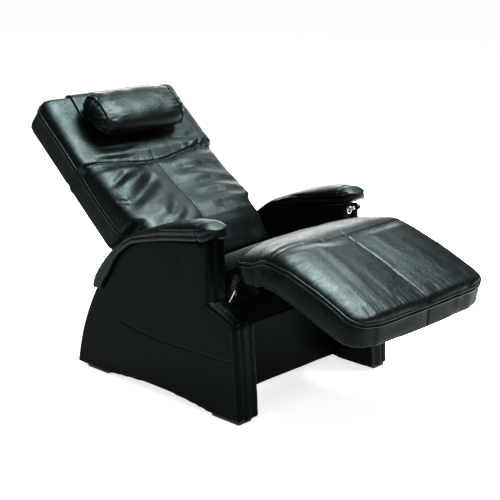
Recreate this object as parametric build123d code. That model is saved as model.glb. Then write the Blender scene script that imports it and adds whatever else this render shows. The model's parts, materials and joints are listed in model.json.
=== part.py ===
from build123d import *
import os
from math import cos, radians, sin

# Reclining leather armchair. X runs from the sitter's right to the sitter's left, the chair faces
# -Y and Z is up. While it is drawn, Y is 0 at the front foot of the side panels. The finished
# pieces are then shifted so that the origin lies on the floor under the middle of the whole chair.
ORIGIN_Y = 313.0

# Side panels
PANEL_INNER_X = 261.0
PANEL_OUTER_X = 345.0
PANEL_DEPTH = 732.0
PANEL_SKIN = 8.0
GLIDE_HEIGHT = 10.0
GLIDE_WIDTH = 52.0
GLIDE_X = 312.0
ARCH_HEIGHT = 16.0
SHOULDER_Y = 126.0
SHOULDER_Z = 340.0
POST_Y = 130.0
ARM_FRONT_Z = 526.0
FRAME_PLY = 24.0
PAD_UNDERSIDE = ((590, 295), (535, 376), (494, 428), (428, 468), (302, 500), (130, 526))

# Arm pads
ARM_CENTRE_X = 311.5
ARM_HALF_WIDTH = 50.0
ARM_TOP_Z = 580.0
ARM_NOSE_Y = 92.0
ARM_NOSE_RADIUS = 44.0
ARM_REAR_Y = 662.0
ARM_REAR_Z = 300.0
ARM_BOARD = 12.0

# Seat pivot, and the angles of the three cushions above and below level
PIVOT_Y = 300.0
PIVOT_Z = 200.0
SEAT_ANGLE = 20.0
LEG_ANGLE = 22.8
BACK_ANGLE = 41.0
KNEE_Y = -38.0
KNEE_Z = 415.0
HIP_ALONG = 499.0
HIP_ABOVE = 17.7

# Seat
RAIL_INNER_X = 225.0
RAIL_OUTER_X = 243.0
RAIL_HEIGHT = 28.0
SEAT_HALF_WIDTH = 246.0
SEAT_UNDERSIDE = 35.0
SEAT_TOP = 110.0
SEAT_REAR = 474.0
SEAT_TUBE_RADIUS = 9.0
SEAT_TUBE_ABOVE = 14.0
SEAT_TUBES_ALONG = (110.0, 255.0, 425.0)
STRUT_THICKNESS = 6.0
ROCKER_WIDTH = 18.0
ROCKER_INNER_X = 249.0
ROCKER_OUTER_X = 255.0
BOSS_AT = 0.16
BOSS_RADIUS = 8.0
ROCKER_TOP_Y = 97.0
ROCKER_TOP_Z = 409.0
ROCKER_MID_Y = 127.0
ROCKER_MID_Z = 344.0
CAP_LENGTH = 17.0

# Leg rest
LEG_HALF_WIDTH = 296.0
LEG_UNDERSIDE = 28.0
LEG_TOP = 122.0
LEG_LENGTH = 352.0
KNEE_GAP = 0.6
LEG_CORNER_RADIUS = 66.0

# Back
BACK_LENGTH = 764.0
BACK_SEAM = 484.0
BACK_NARROW_END = 222.0
BACK_NARROW_HALF_WIDTH = 250.0
LOWER_HALF_WIDTH = 274.0
UPPER_HALF_WIDTH = 287.0
BACK_FRAME_TOP = 20.0
LOWER_SHELL_DEPTH = 26.0
UPPER_PANEL_DEPTH = 8.0
SHELL_RIM = 12.0
SHELL_WALL = 4.0
LUMBAR_TOP = 114.0
UPPER_TOP = 92.0
BACK_TUBE_RADIUS = 11.0
BACK_TUBE_ENDS = (28.0, 698.0)
BACK_TUBE_X = 206.0
BACK_TUBE_ABOVE = 8.0
BACK_BAR_RADIUS = 8.0
BACK_BARS_ALONG = (80.0, 270.0, 465.0, 670.0)
TOP_CORNER_RADIUS = 55.0

# Head pillow and its strap
PILLOW_HALF_WIDTH = 195.0
PILLOW_START = 545.0
PILLOW_END = 716.0
PILLOW_HEIGHT = 94.0
STRAP_HALF_WIDTH = 178.0
STRAP_THICKNESS = 2.5
STRAP_START = 600.0
STRAP_REAR_END = 560.0
WEIGHT_START = 575.0
WEIGHT_DIAMETER = 30.0
SOFT_GAP = 0.4

# Pins and bores
PIVOT_PIN_RADIUS = 8.0
PIVOT_PIN_END_X = 238.0
HINGE_PIN_RADIUS = 6.0
PIN_HEAD_RADIUS = 10.0
RUNNING_CLEARANCE = 0.05
LUG_THICKNESS = 6.0
LUG_OUTER_X = 223.0

# Pivot plates
PLATE_SIZE = (90.0, 110.0)
PLATE_CORNER = 12.0
PLATE_THICKNESS = 4.0
SCREW_RADIUS = 4.0
SCREW_PLACES = ((-32, -42), (-32, 42), (32, -42), (32, 42))

# Gas spring
ANCHOR_Y = 560.0
ANCHOR_Z = 150.0
ROD_END_Y = 180.0
ROD_END_Z = 335.0
CYLINDER_LENGTH = 250.0
CYLINDER_RADIUS = 12.0
CYLINDER_BORE = 10.0
END_WALL = 12.0
ROD_INSIDE = 90.0
PISTON_LENGTH = 10.0
ROD_RADIUS = 5.0
ROD_PIN_RADIUS = 5.0
OPEN_PIVOT_BORE = 7.0
EYE_RADIUS = 13.0
EYE_HALF_WIDTH = 8.0
EAR_THICKNESS = 5.0

# Cross members of the base
CROSS_TUBE_RADIUS = 16.0
TUBE_WALL = 2.0
FRONT_TUBE_YZ = (195.0, 60.0)
REAR_TUBE_YZ = (592.0, 118.0)
CROSS_PANEL_THICKNESS = 16.0
FRONT_PANEL_Y = 152.0
REAR_PANEL_Y = 640.0
CROSS_PANEL_BOTTOM = 18.0
FRONT_PANEL_TOP = 228.0
REAR_PANEL_TOP = 190.0

# Control lever
LEVER_X = 288.0
LEVER_Y = 128.0
LEVER_Z = 509.0
LEVER_SOCKET_RADIUS = 8.0
LEVER_STEM_RADIUS = 3.0
LEVER_BALL_RADIUS = 6.0
LEVER_KNOB_RADIUS = 8.5
LEVER_REACH = 34.0
LEVER_RISE = 14.0

SIDES = {"left": 1, "right": -1}


def frame(along_y, along_z, normal_x=1):
    """Plane at the knee axis with its first axis in the YZ plane and its normal along X."""
    return Plane(origin=(0, KNEE_Y, KNEE_Z), x_dir=(0, along_y, along_z), z_dir=(normal_x, 0, 0))


BASE = Plane.YZ
SEAT = frame(cos(radians(SEAT_ANGLE)), -sin(radians(SEAT_ANGLE)))
LEG = frame(-cos(radians(LEG_ANGLE)), -sin(radians(LEG_ANGLE)), -1)
HIP = SEAT.from_local_coords((HIP_ALONG, HIP_ABOVE, 0))
BACK = Plane(
    origin=HIP,
    x_dir=(0, cos(radians(BACK_ANGLE)), sin(radians(BACK_ANGLE))),
    z_dir=(1, 0, 0),
)


def prism(plane, outline, start_x, end_x):
    """Solid with a side outline drawn in a plane, between two distances from the middle."""
    return extrude(plane.offset(start_x) * outline, amount=end_x - start_x)


def centred_prism(plane, outline, half_width):
    """Solid with a side outline, as far to the left as to the right."""
    return prism(plane, outline, -half_width, half_width)


def side_prism(outline, side, inner_x, outer_x, plane=BASE):
    """Solid on one side of the chair, between two distances from the middle."""
    start, end = sorted((side * inner_x, side * outer_x))
    return prism(plane, outline, start, end)


def rod_across(plane, along, above, radius, start_x, end_x):
    """Round rod that runs along X through a point of a plane."""
    place = plane * Pos(along, above, (start_x + end_x) / 2)
    return place * Cylinder(radius, abs(end_x - start_x))


def rod_along(plane, start, end, radius):
    """Round rod along the first axis of a plane, between two distances from its origin."""
    place = plane * Pos((start + end) / 2, 0, 0) * Rot(0, 90, 0)
    return place * Cylinder(radius, end - start)


def polygon(*points):
    """Flat face with straight edges."""
    return make_face(Polyline(*points, close=True))


def stadium(first, second, width):
    """Flat bar outline with round ends centred on two points."""
    start = Vector(*first)
    span = Vector(*second) - start
    turn = Vector(1, 0).get_signed_angle(span)
    middle = start + span / 2
    return Pos(middle.X, middle.Y) * SlotCenterToCenter(span.length, width, rotation=turn)


def pad_underside(inset=0.0):
    """Line along which an arm pad lies on its side panel, from its rear end to the post."""
    rear, *middle, front = PAD_UNDERSIDE
    return Spline(
        (rear[0] - inset, rear[1]),
        *[(y - inset, z - inset) for y, z in middle],
        (front[0] + inset, front[1] - inset),
    )


def panel_outline(inset=0.0):
    """Side panel seen from the side, from the glides up to the underside of the arm pad."""
    rear_foot = PANEL_DEPTH - inset
    bottom = GLIDE_HEIGHT
    edges = [
        Line((inset, bottom), (125, bottom)),
        ThreePointArc((125, bottom), (350, bottom + ARCH_HEIGHT), (575, bottom)),
        Line((575, bottom), (rear_foot, bottom)),
        ThreePointArc((rear_foot, bottom), (699 - inset, 132), (624 - inset, 285)),
        Line((624 - inset, 285), (590 - inset, 295)),
        pad_underside(inset),
        Line((POST_Y + inset, ARM_FRONT_Z - inset), (SHOULDER_Y + inset, SHOULDER_Z)),
        Line((SHOULDER_Y + inset, SHOULDER_Z), (22 + inset, 304 - inset)),
        ThreePointArc((22 + inset, 304 - inset), (11 + inset, 175), (inset, bottom)),
    ]
    return make_face(edges)


def side_cover(side):
    """Padded leather skin round one side panel, open at the bottom, with the lever socket."""
    outside = side_prism(panel_outline(), side, PANEL_INNER_X, PANEL_OUTER_X)
    inside = side_prism(
        panel_outline(PANEL_SKIN), side, PANEL_INNER_X + PANEL_SKIN, PANEL_OUTER_X - PANEL_SKIN
    )
    cover = outside - inside
    if side > 0:
        socket = Pos(LEVER_X, LEVER_Y, LEVER_Z) * Rot(90, 0, 0) * Cylinder(LEVER_SOCKET_RADIUS, 40)
        cover -= socket
    return cover


def side_frame(side):
    """Plywood panel inside one side cover, with a lightening window."""
    middle = (PANEL_INNER_X + PANEL_OUTER_X) / 2
    board = side_prism(
        panel_outline(PANEL_SKIN + 1), side, middle - FRAME_PLY / 2, middle + FRAME_PLY / 2
    )
    window = polygon((190, 90), (560, 90), (520, 230), (400, 330), (190, 380))
    return board - side_prism(window, side, middle - FRAME_PLY, middle + FRAME_PLY)


def arm_pad(side):
    """Arm pad that lies on the top edge of a side panel and runs down at the rear."""
    front_edge = PAD_UNDERSIDE[-1]
    outline = make_face(
        [
            Spline(
                (ARM_REAR_Y, ARM_REAR_Z),
                (645, 345),
                (608, 392),
                (553, 438),
                (447, 505),
                (312, 547),
                (160, ARM_TOP_Z),
                (ARM_NOSE_Y, 558),
                front_edge,
                tangents=((-0.1, 1), (1, -0.1)),
            ),
            pad_underside(),
            Line(PAD_UNDERSIDE[0], (ARM_REAR_Y, ARM_REAR_Z)),
        ]
    )
    inner = ARM_CENTRE_X - ARM_HALF_WIDTH
    outer = ARM_CENTRE_X + ARM_HALF_WIDTH
    length = ARM_REAR_Y + ARM_HALF_WIDTH - ARM_NOSE_Y
    plan = Pos(side * ARM_CENTRE_X, ARM_NOSE_Y + length / 2) * Rectangle(2 * ARM_HALF_WIDTH, length)
    plan = fillet(plan.vertices().group_by(Axis.Y)[0], ARM_NOSE_RADIUS)
    return side_prism(outline, side, inner, outer) & extrude(plan, amount=2 * ARM_TOP_Z)


def arm_board(side):
    """Wooden strip along the top of the plywood panel, under the front of an arm pad."""
    outline = polygon((150, 498), (360, 458), (360, 458 - ARM_BOARD), (150, 498 - ARM_BOARD))
    inner = PANEL_INNER_X + PANEL_SKIN + 1
    return side_prism(outline, side, inner, PANEL_OUTER_X - PANEL_SKIN - 1)


def glides(start_y, end_y):
    """Pair of low plastic glides under the ends of the side panels."""
    block = Box(GLIDE_WIDTH, end_y - start_y, GLIDE_HEIGHT)
    block = chamfer(block.faces().sort_by(Axis.Z)[0].edges(), 2)
    pieces = []
    for side in SIDES.values():
        pieces.append(Pos(side * GLIDE_X, (start_y + end_y) / 2, GLIDE_HEIGHT / 2) * block)
    return Compound(children=pieces)


def cross_panel(front_y, top_z):
    """Leather-covered board between the two side panels."""
    height = top_z - CROSS_PANEL_BOTTOM
    block = Box(2 * PANEL_INNER_X, CROSS_PANEL_THICKNESS, height)
    centre_y = front_y + CROSS_PANEL_THICKNESS / 2
    return Pos(0, centre_y, CROSS_PANEL_BOTTOM + height / 2) * block


def cross_tube(centre):
    """Steel tube between the two side panels."""
    outer = rod_across(BASE, *centre, CROSS_TUBE_RADIUS, -PANEL_INNER_X, PANEL_INNER_X)
    inner_radius = CROSS_TUBE_RADIUS - TUBE_WALL
    return outer - rod_across(BASE, *centre, inner_radius, -PANEL_INNER_X, PANEL_INNER_X)


def pivot_plate(side):
    """Steel plate on the inner face of a side panel that carries the seat pivot pin."""
    plate = RectangleRounded(*PLATE_SIZE, PLATE_CORNER)
    holes = [Pos(y, z) * Circle(SCREW_RADIUS) for y, z in SCREW_PLACES]
    outline = Pos(PIVOT_Y, PIVOT_Z) * (plate - holes - Circle(PIVOT_PIN_RADIUS))
    return side_prism(outline, side, PANEL_INNER_X - PLATE_THICKNESS, PANEL_INNER_X)


def pivot_pins():
    """Headed pins that carry the rocker arms and the struts."""
    pins = []
    for side in SIDES.values():
        ends = (side * PIVOT_PIN_END_X, side * PANEL_INNER_X)
        shaft = rod_across(BASE, PIVOT_Y, PIVOT_Z, PIVOT_PIN_RADIUS, *ends)
        ends = (side * PIVOT_PIN_END_X, side * (RAIL_OUTER_X - 0.3))
        pins.append(shaft + rod_across(BASE, PIVOT_Y, PIVOT_Z, PIVOT_PIN_RADIUS + 5, *ends))
    return Compound(children=pins)


def plate_screws():
    """Screws that hold the pivot plates on the side panels."""
    plate_x = PANEL_INNER_X - PLATE_THICKNESS
    screws = []
    for side in SIDES.values():
        for y, z in SCREW_PLACES:
            spot = (BASE, PIVOT_Y + y, PIVOT_Z + z)
            shank = rod_across(*spot, SCREW_RADIUS, side * plate_x, side * PANEL_INNER_X)
            head = rod_across(*spot, SCREW_RADIUS + 3, side * (plate_x - 1.5), side * plate_x)
            screws.append(shank + head)
    return Compound(children=screws)


def ears(plane, near, far, width, bore):
    """Pair of bracket ears with a pin bore at the far end."""
    pair = []
    for side in SIDES.values():
        outline = stadium(near, far, width) - Pos(*far) * Circle(bore)
        inner = EYE_HALF_WIDTH + 1
        pair.append(side_prism(outline, side, inner, inner + EAR_THICKNESS, plane))
    return pair


def bracket_pin(plane, along, above, radius):
    """Pin through a pair of ears, with a head on one side."""
    half = EYE_HALF_WIDTH + 1 + EAR_THICKNESS
    shaft = rod_across(plane, along, above, radius, -half, half)
    return shaft + rod_across(plane, along, above, radius + 2.5, half, half + 3)


def lever_escutcheon():
    """Chrome ring round the lever socket on the front post."""
    return Pos(LEVER_X, POST_Y - 6.5, LEVER_Z) * Rot(90, 0, 0) * Torus(10.5, 2.6)


def base_parts():
    """Everything that stands still on the floor."""
    parts = {}
    for name, side in SIDES.items():
        parts[f"{name}_side_cover"] = side_cover(side)
        parts[f"{name}_side_frame"] = side_frame(side) - arm_board(side)
        parts[f"{name}_arm_pad"] = arm_pad(side)
        parts[f"{name}_arm_board"] = arm_board(side)
        parts[f"{name}_pivot_plate"] = pivot_plate(side)
    parts["front_glides"] = glides(5, 115)
    parts["rear_glides"] = glides(590, 690)
    parts["front_cross_panel"] = cross_panel(FRONT_PANEL_Y, FRONT_PANEL_TOP)
    parts["rear_cross_panel"] = cross_panel(REAR_PANEL_Y, REAR_PANEL_TOP)
    parts["front_cross_tube"] = cross_tube(FRONT_TUBE_YZ)
    parts["rear_cross_tube"] = cross_tube(REAR_TUBE_YZ)
    parts["pivot_pins"] = pivot_pins()
    parts["plate_screws"] = plate_screws()
    anchor_ears = ears(BASE, REAR_TUBE_YZ, (ANCHOR_Y, ANCHOR_Z), 26, HINGE_PIN_RADIUS)
    tube = rod_across(BASE, *REAR_TUBE_YZ, CROSS_TUBE_RADIUS, -PANEL_INNER_X, PANEL_INNER_X)
    parts["gas_anchor_ears"] = Compound(children=[ear - tube for ear in anchor_ears])
    parts["gas_anchor_pin"] = bracket_pin(BASE, ANCHOR_Y, ANCHOR_Z, HINGE_PIN_RADIUS)
    parts["lever_escutcheon"] = lever_escutcheon()
    return parts


def seat_rail(side):
    """Flat seat rail from the knee pin to the hip pin."""
    outline = stadium((0, 0), (HIP_ALONG, HIP_ABOVE), RAIL_HEIGHT)
    outline -= Circle(HINGE_PIN_RADIUS)
    outline -= Pos(HIP_ALONG, HIP_ABOVE) * Circle(HINGE_PIN_RADIUS)
    return side_prism(outline, side, RAIL_INNER_X, RAIL_OUTER_X, SEAT)


def seat_tube(along, radius):
    """Round bar between the two seat rails."""
    return rod_across(SEAT, along, SEAT_TUBE_ABOVE, radius, -RAIL_INNER_X, RAIL_INNER_X)


def seat_tubes():
    """Tubes between the two seat rails."""
    tubes = []
    for along in SEAT_TUBES_ALONG:
        bore = seat_tube(along, SEAT_TUBE_RADIUS - TUBE_WALL)
        tubes.append(seat_tube(along, SEAT_TUBE_RADIUS) - bore)
    return Compound(children=tubes)


def seat_cushion():
    """Seat cushion with a round nose about the knee axis."""
    nose_start = Vector(0, SEAT_TOP)
    nose_end = Vector(SEAT_TOP, 0).rotate(Axis.Z, 145)
    nose_mid = Vector(SEAT_TOP, 0).rotate(Axis.Z, 118)
    outline = make_face(
        [
            Line((SEAT_REAR, SEAT_UNDERSIDE), (SEAT_REAR + 4, 70)),
            ThreePointArc((SEAT_REAR + 4, 70), (SEAT_REAR, 92), (SEAT_REAR - 16, SEAT_TOP - 6)),
            ThreePointArc(
                (SEAT_REAR - 16, SEAT_TOP - 6), (240, SEAT_TOP + 5), (nose_start.X, nose_start.Y)
            ),
            ThreePointArc(nose_start, nose_mid, nose_end),
            Line(nose_end, (24, SEAT_UNDERSIDE)),
            Line((24, SEAT_UNDERSIDE), (SEAT_REAR, SEAT_UNDERSIDE)),
        ]
    )
    return centred_prism(SEAT, outline, SEAT_HALF_WIDTH)


def rocker_line():
    """Middle line of a rocker arm, from its top end to the seat pivot."""
    return ThreePointArc(
        (ROCKER_TOP_Y, ROCKER_TOP_Z), (ROCKER_MID_Y, ROCKER_MID_Z), (PIVOT_Y, PIVOT_Z)
    )


def rocker_bar(start, end, width):
    """Flat outline of the stretch of a rocker arm between two fractions of its line."""
    stretch = rocker_line().trim(start, end)
    return make_face(offset(stretch, width / 2, side=Side.BOTH).wire())


def rocker_arm(side):
    """Curved flat bar that carries the front of the seat from the pivot."""
    bar = rocker_bar(CAP_LENGTH / rocker_line().length, 1, ROCKER_WIDTH)
    outline = bar + Pos(PIVOT_Y, PIVOT_Z) * Circle(ROCKER_WIDTH)
    outline -= Pos(PIVOT_Y, PIVOT_Z) * Circle(PIVOT_PIN_RADIUS + RUNNING_CLEARANCE)
    return side_prism(outline, side, ROCKER_INNER_X, ROCKER_OUTER_X)


def rocker_caps():
    """Black end caps on the top ends of the rocker arms."""
    cut = CAP_LENGTH / rocker_line().length
    outline = rocker_bar(0, cut, ROCKER_WIDTH + 2) - rocker_bar(cut, 1, ROCKER_WIDTH)
    caps = []
    for side in SIDES.values():
        caps.append(side_prism(outline, side, ROCKER_INNER_X - 1, ROCKER_OUTER_X + 1))
    return Compound(children=caps)


def strut(side):
    """Flat bar between the seat pivot and the rear of the seat rail."""
    foot = SEAT.to_local_coords(Vector(0, PIVOT_Y, PIVOT_Z))
    head = (380.0, 380.0 * HIP_ABOVE / HIP_ALONG)
    outline = stadium((foot.X, foot.Y), head, 26)
    outline -= Pos(foot.X, foot.Y) * Circle(PIVOT_PIN_RADIUS + RUNNING_CLEARANCE)
    return side_prism(outline, side, RAIL_OUTER_X, RAIL_OUTER_X + STRUT_THICKNESS, SEAT)


def rocker_spacers():
    """Bosses that join the seat rails to the rocker arms."""
    spot = rocker_line() @ BOSS_AT
    local = SEAT.to_local_coords(Vector(0, spot.X, spot.Y))
    bosses = []
    for side in SIDES.values():
        ends = (side * RAIL_OUTER_X, side * ROCKER_INNER_X)
        bosses.append(rod_across(SEAT, local.X, local.Y, BOSS_RADIUS, *ends))
    return Compound(children=bosses)


def side_flap(side):
    """Leather flap that hides the knee hinge below the side of the seat."""
    outline = polygon((96, 398), (54, 402), (4, 384), (30, 366), (74, 352), (104, 350))
    spot = rocker_line() @ BOSS_AT
    boss = Pos(spot.X, spot.Y) * Circle(BOSS_RADIUS + 1)
    return side_prism(outline - boss, side, RAIL_OUTER_X + 0.5, RAIL_OUTER_X + 3.5)


def hinge_pins(along, above):
    """Pins fixed in the seat rails, with a head and a washer each side of the lugs."""
    lug_inner = LUG_OUTER_X - LUG_THICKNESS
    stretches = (
        (HINGE_PIN_RADIUS, lug_inner - 1, RAIL_OUTER_X),
        (PIN_HEAD_RADIUS, lug_inner - 5, lug_inner - 1),
        (PIN_HEAD_RADIUS, LUG_OUTER_X + 0.5, RAIL_INNER_X),
    )
    pins = []
    for side in SIDES.values():
        pin = Part()
        for radius, start, end in stretches:
            pin += rod_across(SEAT, along, above, radius, side * start, side * end)
        pins.append(pin)
    return Compound(children=pins)


def seat_parts():
    """Everything that tilts with the seat."""
    parts = {}
    for name, side in SIDES.items():
        parts[f"{name}_seat_rail"] = seat_rail(side)
        parts[f"{name}_rocker_arm"] = rocker_arm(side)
        parts[f"{name}_seat_strut"] = strut(side)
        parts[f"{name}_side_flap"] = side_flap(side)
    parts["seat_cross_tubes"] = seat_tubes()
    board = polygon((45, 23), (450, 23), (450, SEAT_UNDERSIDE), (45, SEAT_UNDERSIDE))
    parts["seat_board"] = centred_prism(SEAT, board, RAIL_INNER_X - 2)
    parts["seat_cushion"] = seat_cushion()
    parts["rocker_arm_caps"] = rocker_caps()
    parts["rocker_arm_spacers"] = rocker_spacers()
    parts["knee_pins"] = hinge_pins(0, 0)
    parts["hip_pins"] = hinge_pins(HIP_ALONG, HIP_ABOVE)
    rod_end = SEAT.to_local_coords(Vector(0, ROD_END_Y, ROD_END_Z))
    middle_tube = SEAT_TUBES_ALONG[1]
    tube = seat_tube(middle_tube, SEAT_TUBE_RADIUS)
    rod_ears = ears(SEAT, (middle_tube, 10), (rod_end.X, rod_end.Y), 22, ROD_PIN_RADIUS)
    parts["gas_rod_ears"] = Compound(children=[ear - tube for ear in rod_ears])
    parts["gas_rod_pin"] = bracket_pin(SEAT, rod_end.X, rod_end.Y, ROD_PIN_RADIUS)
    return parts


def leg_plan():
    """Leg rest seen from above: straight sides, round front corners and a bowed front edge."""
    half = LEG_HALF_WIDTH
    corner = LEG_LENGTH - 22
    radius = LEG_CORNER_RADIUS
    edges = [
        Line((-half, 120), (half, 120)),
        Line((half, 120), (half, -corner + radius)),
        ThreePointArc(
            (half, -corner + radius),
            (half - radius * 0.3, -corner + radius * 0.3),
            (half - radius, -corner),
        ),
        ThreePointArc((half - radius, -corner), (0, -LEG_LENGTH), (radius - half, -corner)),
        ThreePointArc(
            (radius - half, -corner),
            (radius * 0.3 - half, -corner + radius * 0.3),
            (-half, -corner + radius),
        ),
        Line((-half, -corner + radius), (-half, 120)),
    ]
    return make_face(edges)


def leg_cushion():
    """Leg rest cushion, hollowed at the rear to run over the round nose of the seat."""
    outline = make_face(
        [
            Polyline((-32, 22), (-39, 60), (-15, 88), (6, LEG_TOP - 4)),
            ThreePointArc((6, LEG_TOP - 4), (180, LEG_TOP + 2), (LEG_LENGTH - 14, LEG_TOP - 6)),
            ThreePointArc((LEG_LENGTH - 14, LEG_TOP - 6), (LEG_LENGTH, 82), (LEG_LENGTH - 6, 46)),
            Polyline((LEG_LENGTH - 6, 46), (305, LEG_UNDERSIDE + 2), (100, LEG_UNDERSIDE)),
            Polyline((100, LEG_UNDERSIDE), (-6, 10), (-32, 22)),
        ]
    )
    block = centred_prism(LEG, outline, LEG_HALF_WIDTH)
    plan = Plane(origin=LEG.origin, x_dir=(1, 0, 0), z_dir=LEG.y_dir)
    block &= extrude(plan * leg_plan(), amount=200)
    nose = rod_across(LEG, 0, 0, SEAT_TOP + KNEE_GAP, 257, -257)
    return block - nose


def leg_arm(side):
    """Flat steel arm from the knee pin to the underside of the leg board."""
    outline = polygon((0, -14), (60, -12), (290, 2), (290, 14), (95, 14), (0, 14)) + Circle(14)
    outline -= Circle(HINGE_PIN_RADIUS + RUNNING_CLEARANCE)
    return side_prism(outline, -side, LUG_OUTER_X - LUG_THICKNESS, LUG_OUTER_X, LEG)


def leg_parts():
    """Everything that lifts with the leg rest."""
    parts = {f"{name}_leg_arm": leg_arm(side) for name, side in SIDES.items()}
    board = polygon((118, 14), (315, 14), (315, 26), (118, 26))
    parts["leg_board"] = centred_prism(LEG, board, 252)
    parts["leg_cushion"] = leg_cushion()
    return parts


def rounded_top(half_width):
    """Upper end of the back seen from the front, with rounded top corners."""
    middle = (BACK_SEAM + BACK_LENGTH) / 2
    height = BACK_LENGTH - BACK_SEAM
    sheet = Pos(0, middle) * Rectangle(2 * half_width, height)
    corners = sheet.vertices().group_by(Axis.Y)[-1]
    return fillet(corners, TOP_CORNER_RADIUS)


def front_view_solid(sheet, low, high):
    """Solid with an outline seen from the front of the back, between two heights above it."""
    plan = Plane(origin=BACK.origin + BACK.y_dir * low, x_dir=(1, 0, 0), z_dir=BACK.y_dir)
    return extrude(plan * sheet, amount=high - low)


def lower_outline():
    """Lower part of the back seen from the front: narrow between the arms, wide above them."""
    narrow = BACK_NARROW_HALF_WIDTH
    wide = LOWER_HALF_WIDTH
    step = BACK_NARROW_END + 8
    return polygon(
        (-narrow, 60),
        (narrow, 60),
        (narrow, BACK_NARROW_END),
        (wide, step),
        (wide, BACK_SEAM),
        (-wide, BACK_SEAM),
        (-wide, step),
        (-narrow, BACK_NARROW_END),
    )


def lumbar_cushion():
    """Lower back cushion, cut back below so that it clears the seat when the back is upright."""
    outline = make_face(
        [
            Line((104, BACK_FRAME_TOP), (86, 104)),
            ThreePointArc((86, 104), (96, 117), (120, LUMBAR_TOP + 2)),
            ThreePointArc((120, LUMBAR_TOP + 2), (270, LUMBAR_TOP - 2), (BACK_SEAM, UPPER_TOP - 6)),
            Line((BACK_SEAM, UPPER_TOP - 6), (BACK_SEAM, BACK_FRAME_TOP)),
            Line((BACK_SEAM, BACK_FRAME_TOP), (104, BACK_FRAME_TOP)),
        ]
    )
    block = centred_prism(BACK, outline, LOWER_HALF_WIDTH)
    return block & front_view_solid(lower_outline(), 0, 200)


def upper_cushion_front(low):
    """Top end and front of the upper back in side view, from a height up to the seam."""
    return [
        Line((BACK_LENGTH, low), (BACK_LENGTH, UPPER_TOP - 24)),
        ThreePointArc(
            (BACK_LENGTH, UPPER_TOP - 24),
            (BACK_LENGTH - 6, UPPER_TOP - 7),
            (BACK_LENGTH - 22, UPPER_TOP),
        ),
        Line((BACK_LENGTH - 22, UPPER_TOP), (BACK_SEAM, UPPER_TOP)),
    ]


def upper_cushion():
    """Upper back cushion behind the shoulders and head."""
    outline = make_face(
        [
            Line((BACK_SEAM, BACK_FRAME_TOP), (BACK_LENGTH, BACK_FRAME_TOP)),
            *upper_cushion_front(BACK_FRAME_TOP),
            Line((BACK_SEAM, UPPER_TOP), (BACK_SEAM, BACK_FRAME_TOP)),
        ]
    )
    block = centred_prism(BACK, outline, UPPER_HALF_WIDTH)
    return block & front_view_solid(rounded_top(UPPER_HALF_WIDTH), 0, 200)


def tray(sheet, depth):
    """Shallow shell with a rim, open towards the cushion, with passages for the back tubes."""
    outer = front_view_solid(sheet, -depth, SHELL_RIM)
    inner_sheet = offset(sheet, -SHELL_WALL)
    shell = outer - front_view_solid(inner_sheet, -depth + SHELL_WALL, SHELL_RIM)
    for side in SIDES.values():
        place = BACK * Pos(BACK_SEAM, BACK_TUBE_ABOVE, side * BACK_TUBE_X) * Rot(0, 90, 0)
        shell -= place * Cylinder(BACK_TUBE_RADIUS + 1, 4 * SHELL_WALL)
    return shell


def lower_shell():
    """Shell behind the lower part of the back, cut off above the hip hinge."""
    low_end = polygon((0, -60), (112, -60), (112, 60), (0, 60))
    return tray(lower_outline(), LOWER_SHELL_DEPTH) - centred_prism(BACK, low_end, 300)


def upper_panel():
    """Thin tray behind the upper part of the back."""
    return tray(rounded_top(UPPER_HALF_WIDTH), UPPER_PANEL_DEPTH)


def back_lug(side):
    """Hinge lug at the lower end of a back tube."""
    outline = stadium((0, 0), (70, BACK_TUBE_ABOVE), 30)
    outline -= Circle(HINGE_PIN_RADIUS + RUNNING_CLEARANCE)
    return side_prism(outline, side, LUG_OUTER_X - LUG_THICKNESS, LUG_OUTER_X, BACK)


def back_tube(side):
    """Straight steel tube up one side of the back, against the inner face of its lug."""
    line = Plane(BACK * Pos(0, BACK_TUBE_ABOVE, side * BACK_TUBE_X))
    bore = rod_along(line, *BACK_TUBE_ENDS, BACK_TUBE_RADIUS - TUBE_WALL)
    return rod_along(line, *BACK_TUBE_ENDS, BACK_TUBE_RADIUS) - bore


def back_bars():
    """Bars between the two back tubes, cut to fit round them."""
    bars = []
    for along in BACK_BARS_ALONG:
        ends = (-BACK_TUBE_X, BACK_TUBE_X)
        bar = rod_across(BACK, along, BACK_TUBE_ABOVE, BACK_BAR_RADIUS, *ends)
        for side in SIDES.values():
            place = BACK * Pos(along, BACK_TUBE_ABOVE, side * BACK_TUBE_X) * Rot(0, 90, 0)
            bar -= place * Cylinder(BACK_TUBE_RADIUS, 60)
        bars.append(bar)
    return Compound(children=bars)


def pillow_strap():
    """Wide leather strap over the top of the back, from under the pillow to the rear."""
    core = make_face(
        [
            Line((BACK_SEAM, -UPPER_PANEL_DEPTH), (BACK_LENGTH, -UPPER_PANEL_DEPTH)),
            *upper_cushion_front(-UPPER_PANEL_DEPTH),
            Line((BACK_SEAM, UPPER_TOP), (BACK_SEAM, -UPPER_PANEL_DEPTH)),
        ]
    )
    band = offset(core, SOFT_GAP + STRAP_THICKNESS) - offset(core, SOFT_GAP)
    band -= polygon((0, 0), (STRAP_START, 0), (STRAP_START, 200), (0, 200))
    band -= polygon((0, 0), (STRAP_REAR_END, 0), (STRAP_REAR_END, -200), (0, -200))
    return centred_prism(BACK, band, STRAP_HALF_WIDTH)


def back_parts():
    """Everything that reclines with the back."""
    parts = {}
    for name, side in SIDES.items():
        parts[f"{name}_back_lug"] = back_lug(side)
        parts[f"{name}_back_tube"] = back_tube(side)
    parts["back_cross_bars"] = back_bars()
    parts["lower_back_shell"] = lower_shell()
    parts["upper_back_panel"] = upper_panel()
    parts["lumbar_cushion"] = lumbar_cushion()
    parts["upper_back_cushion"] = upper_cushion()
    parts["pillow_strap"] = pillow_strap()
    return parts


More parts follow.
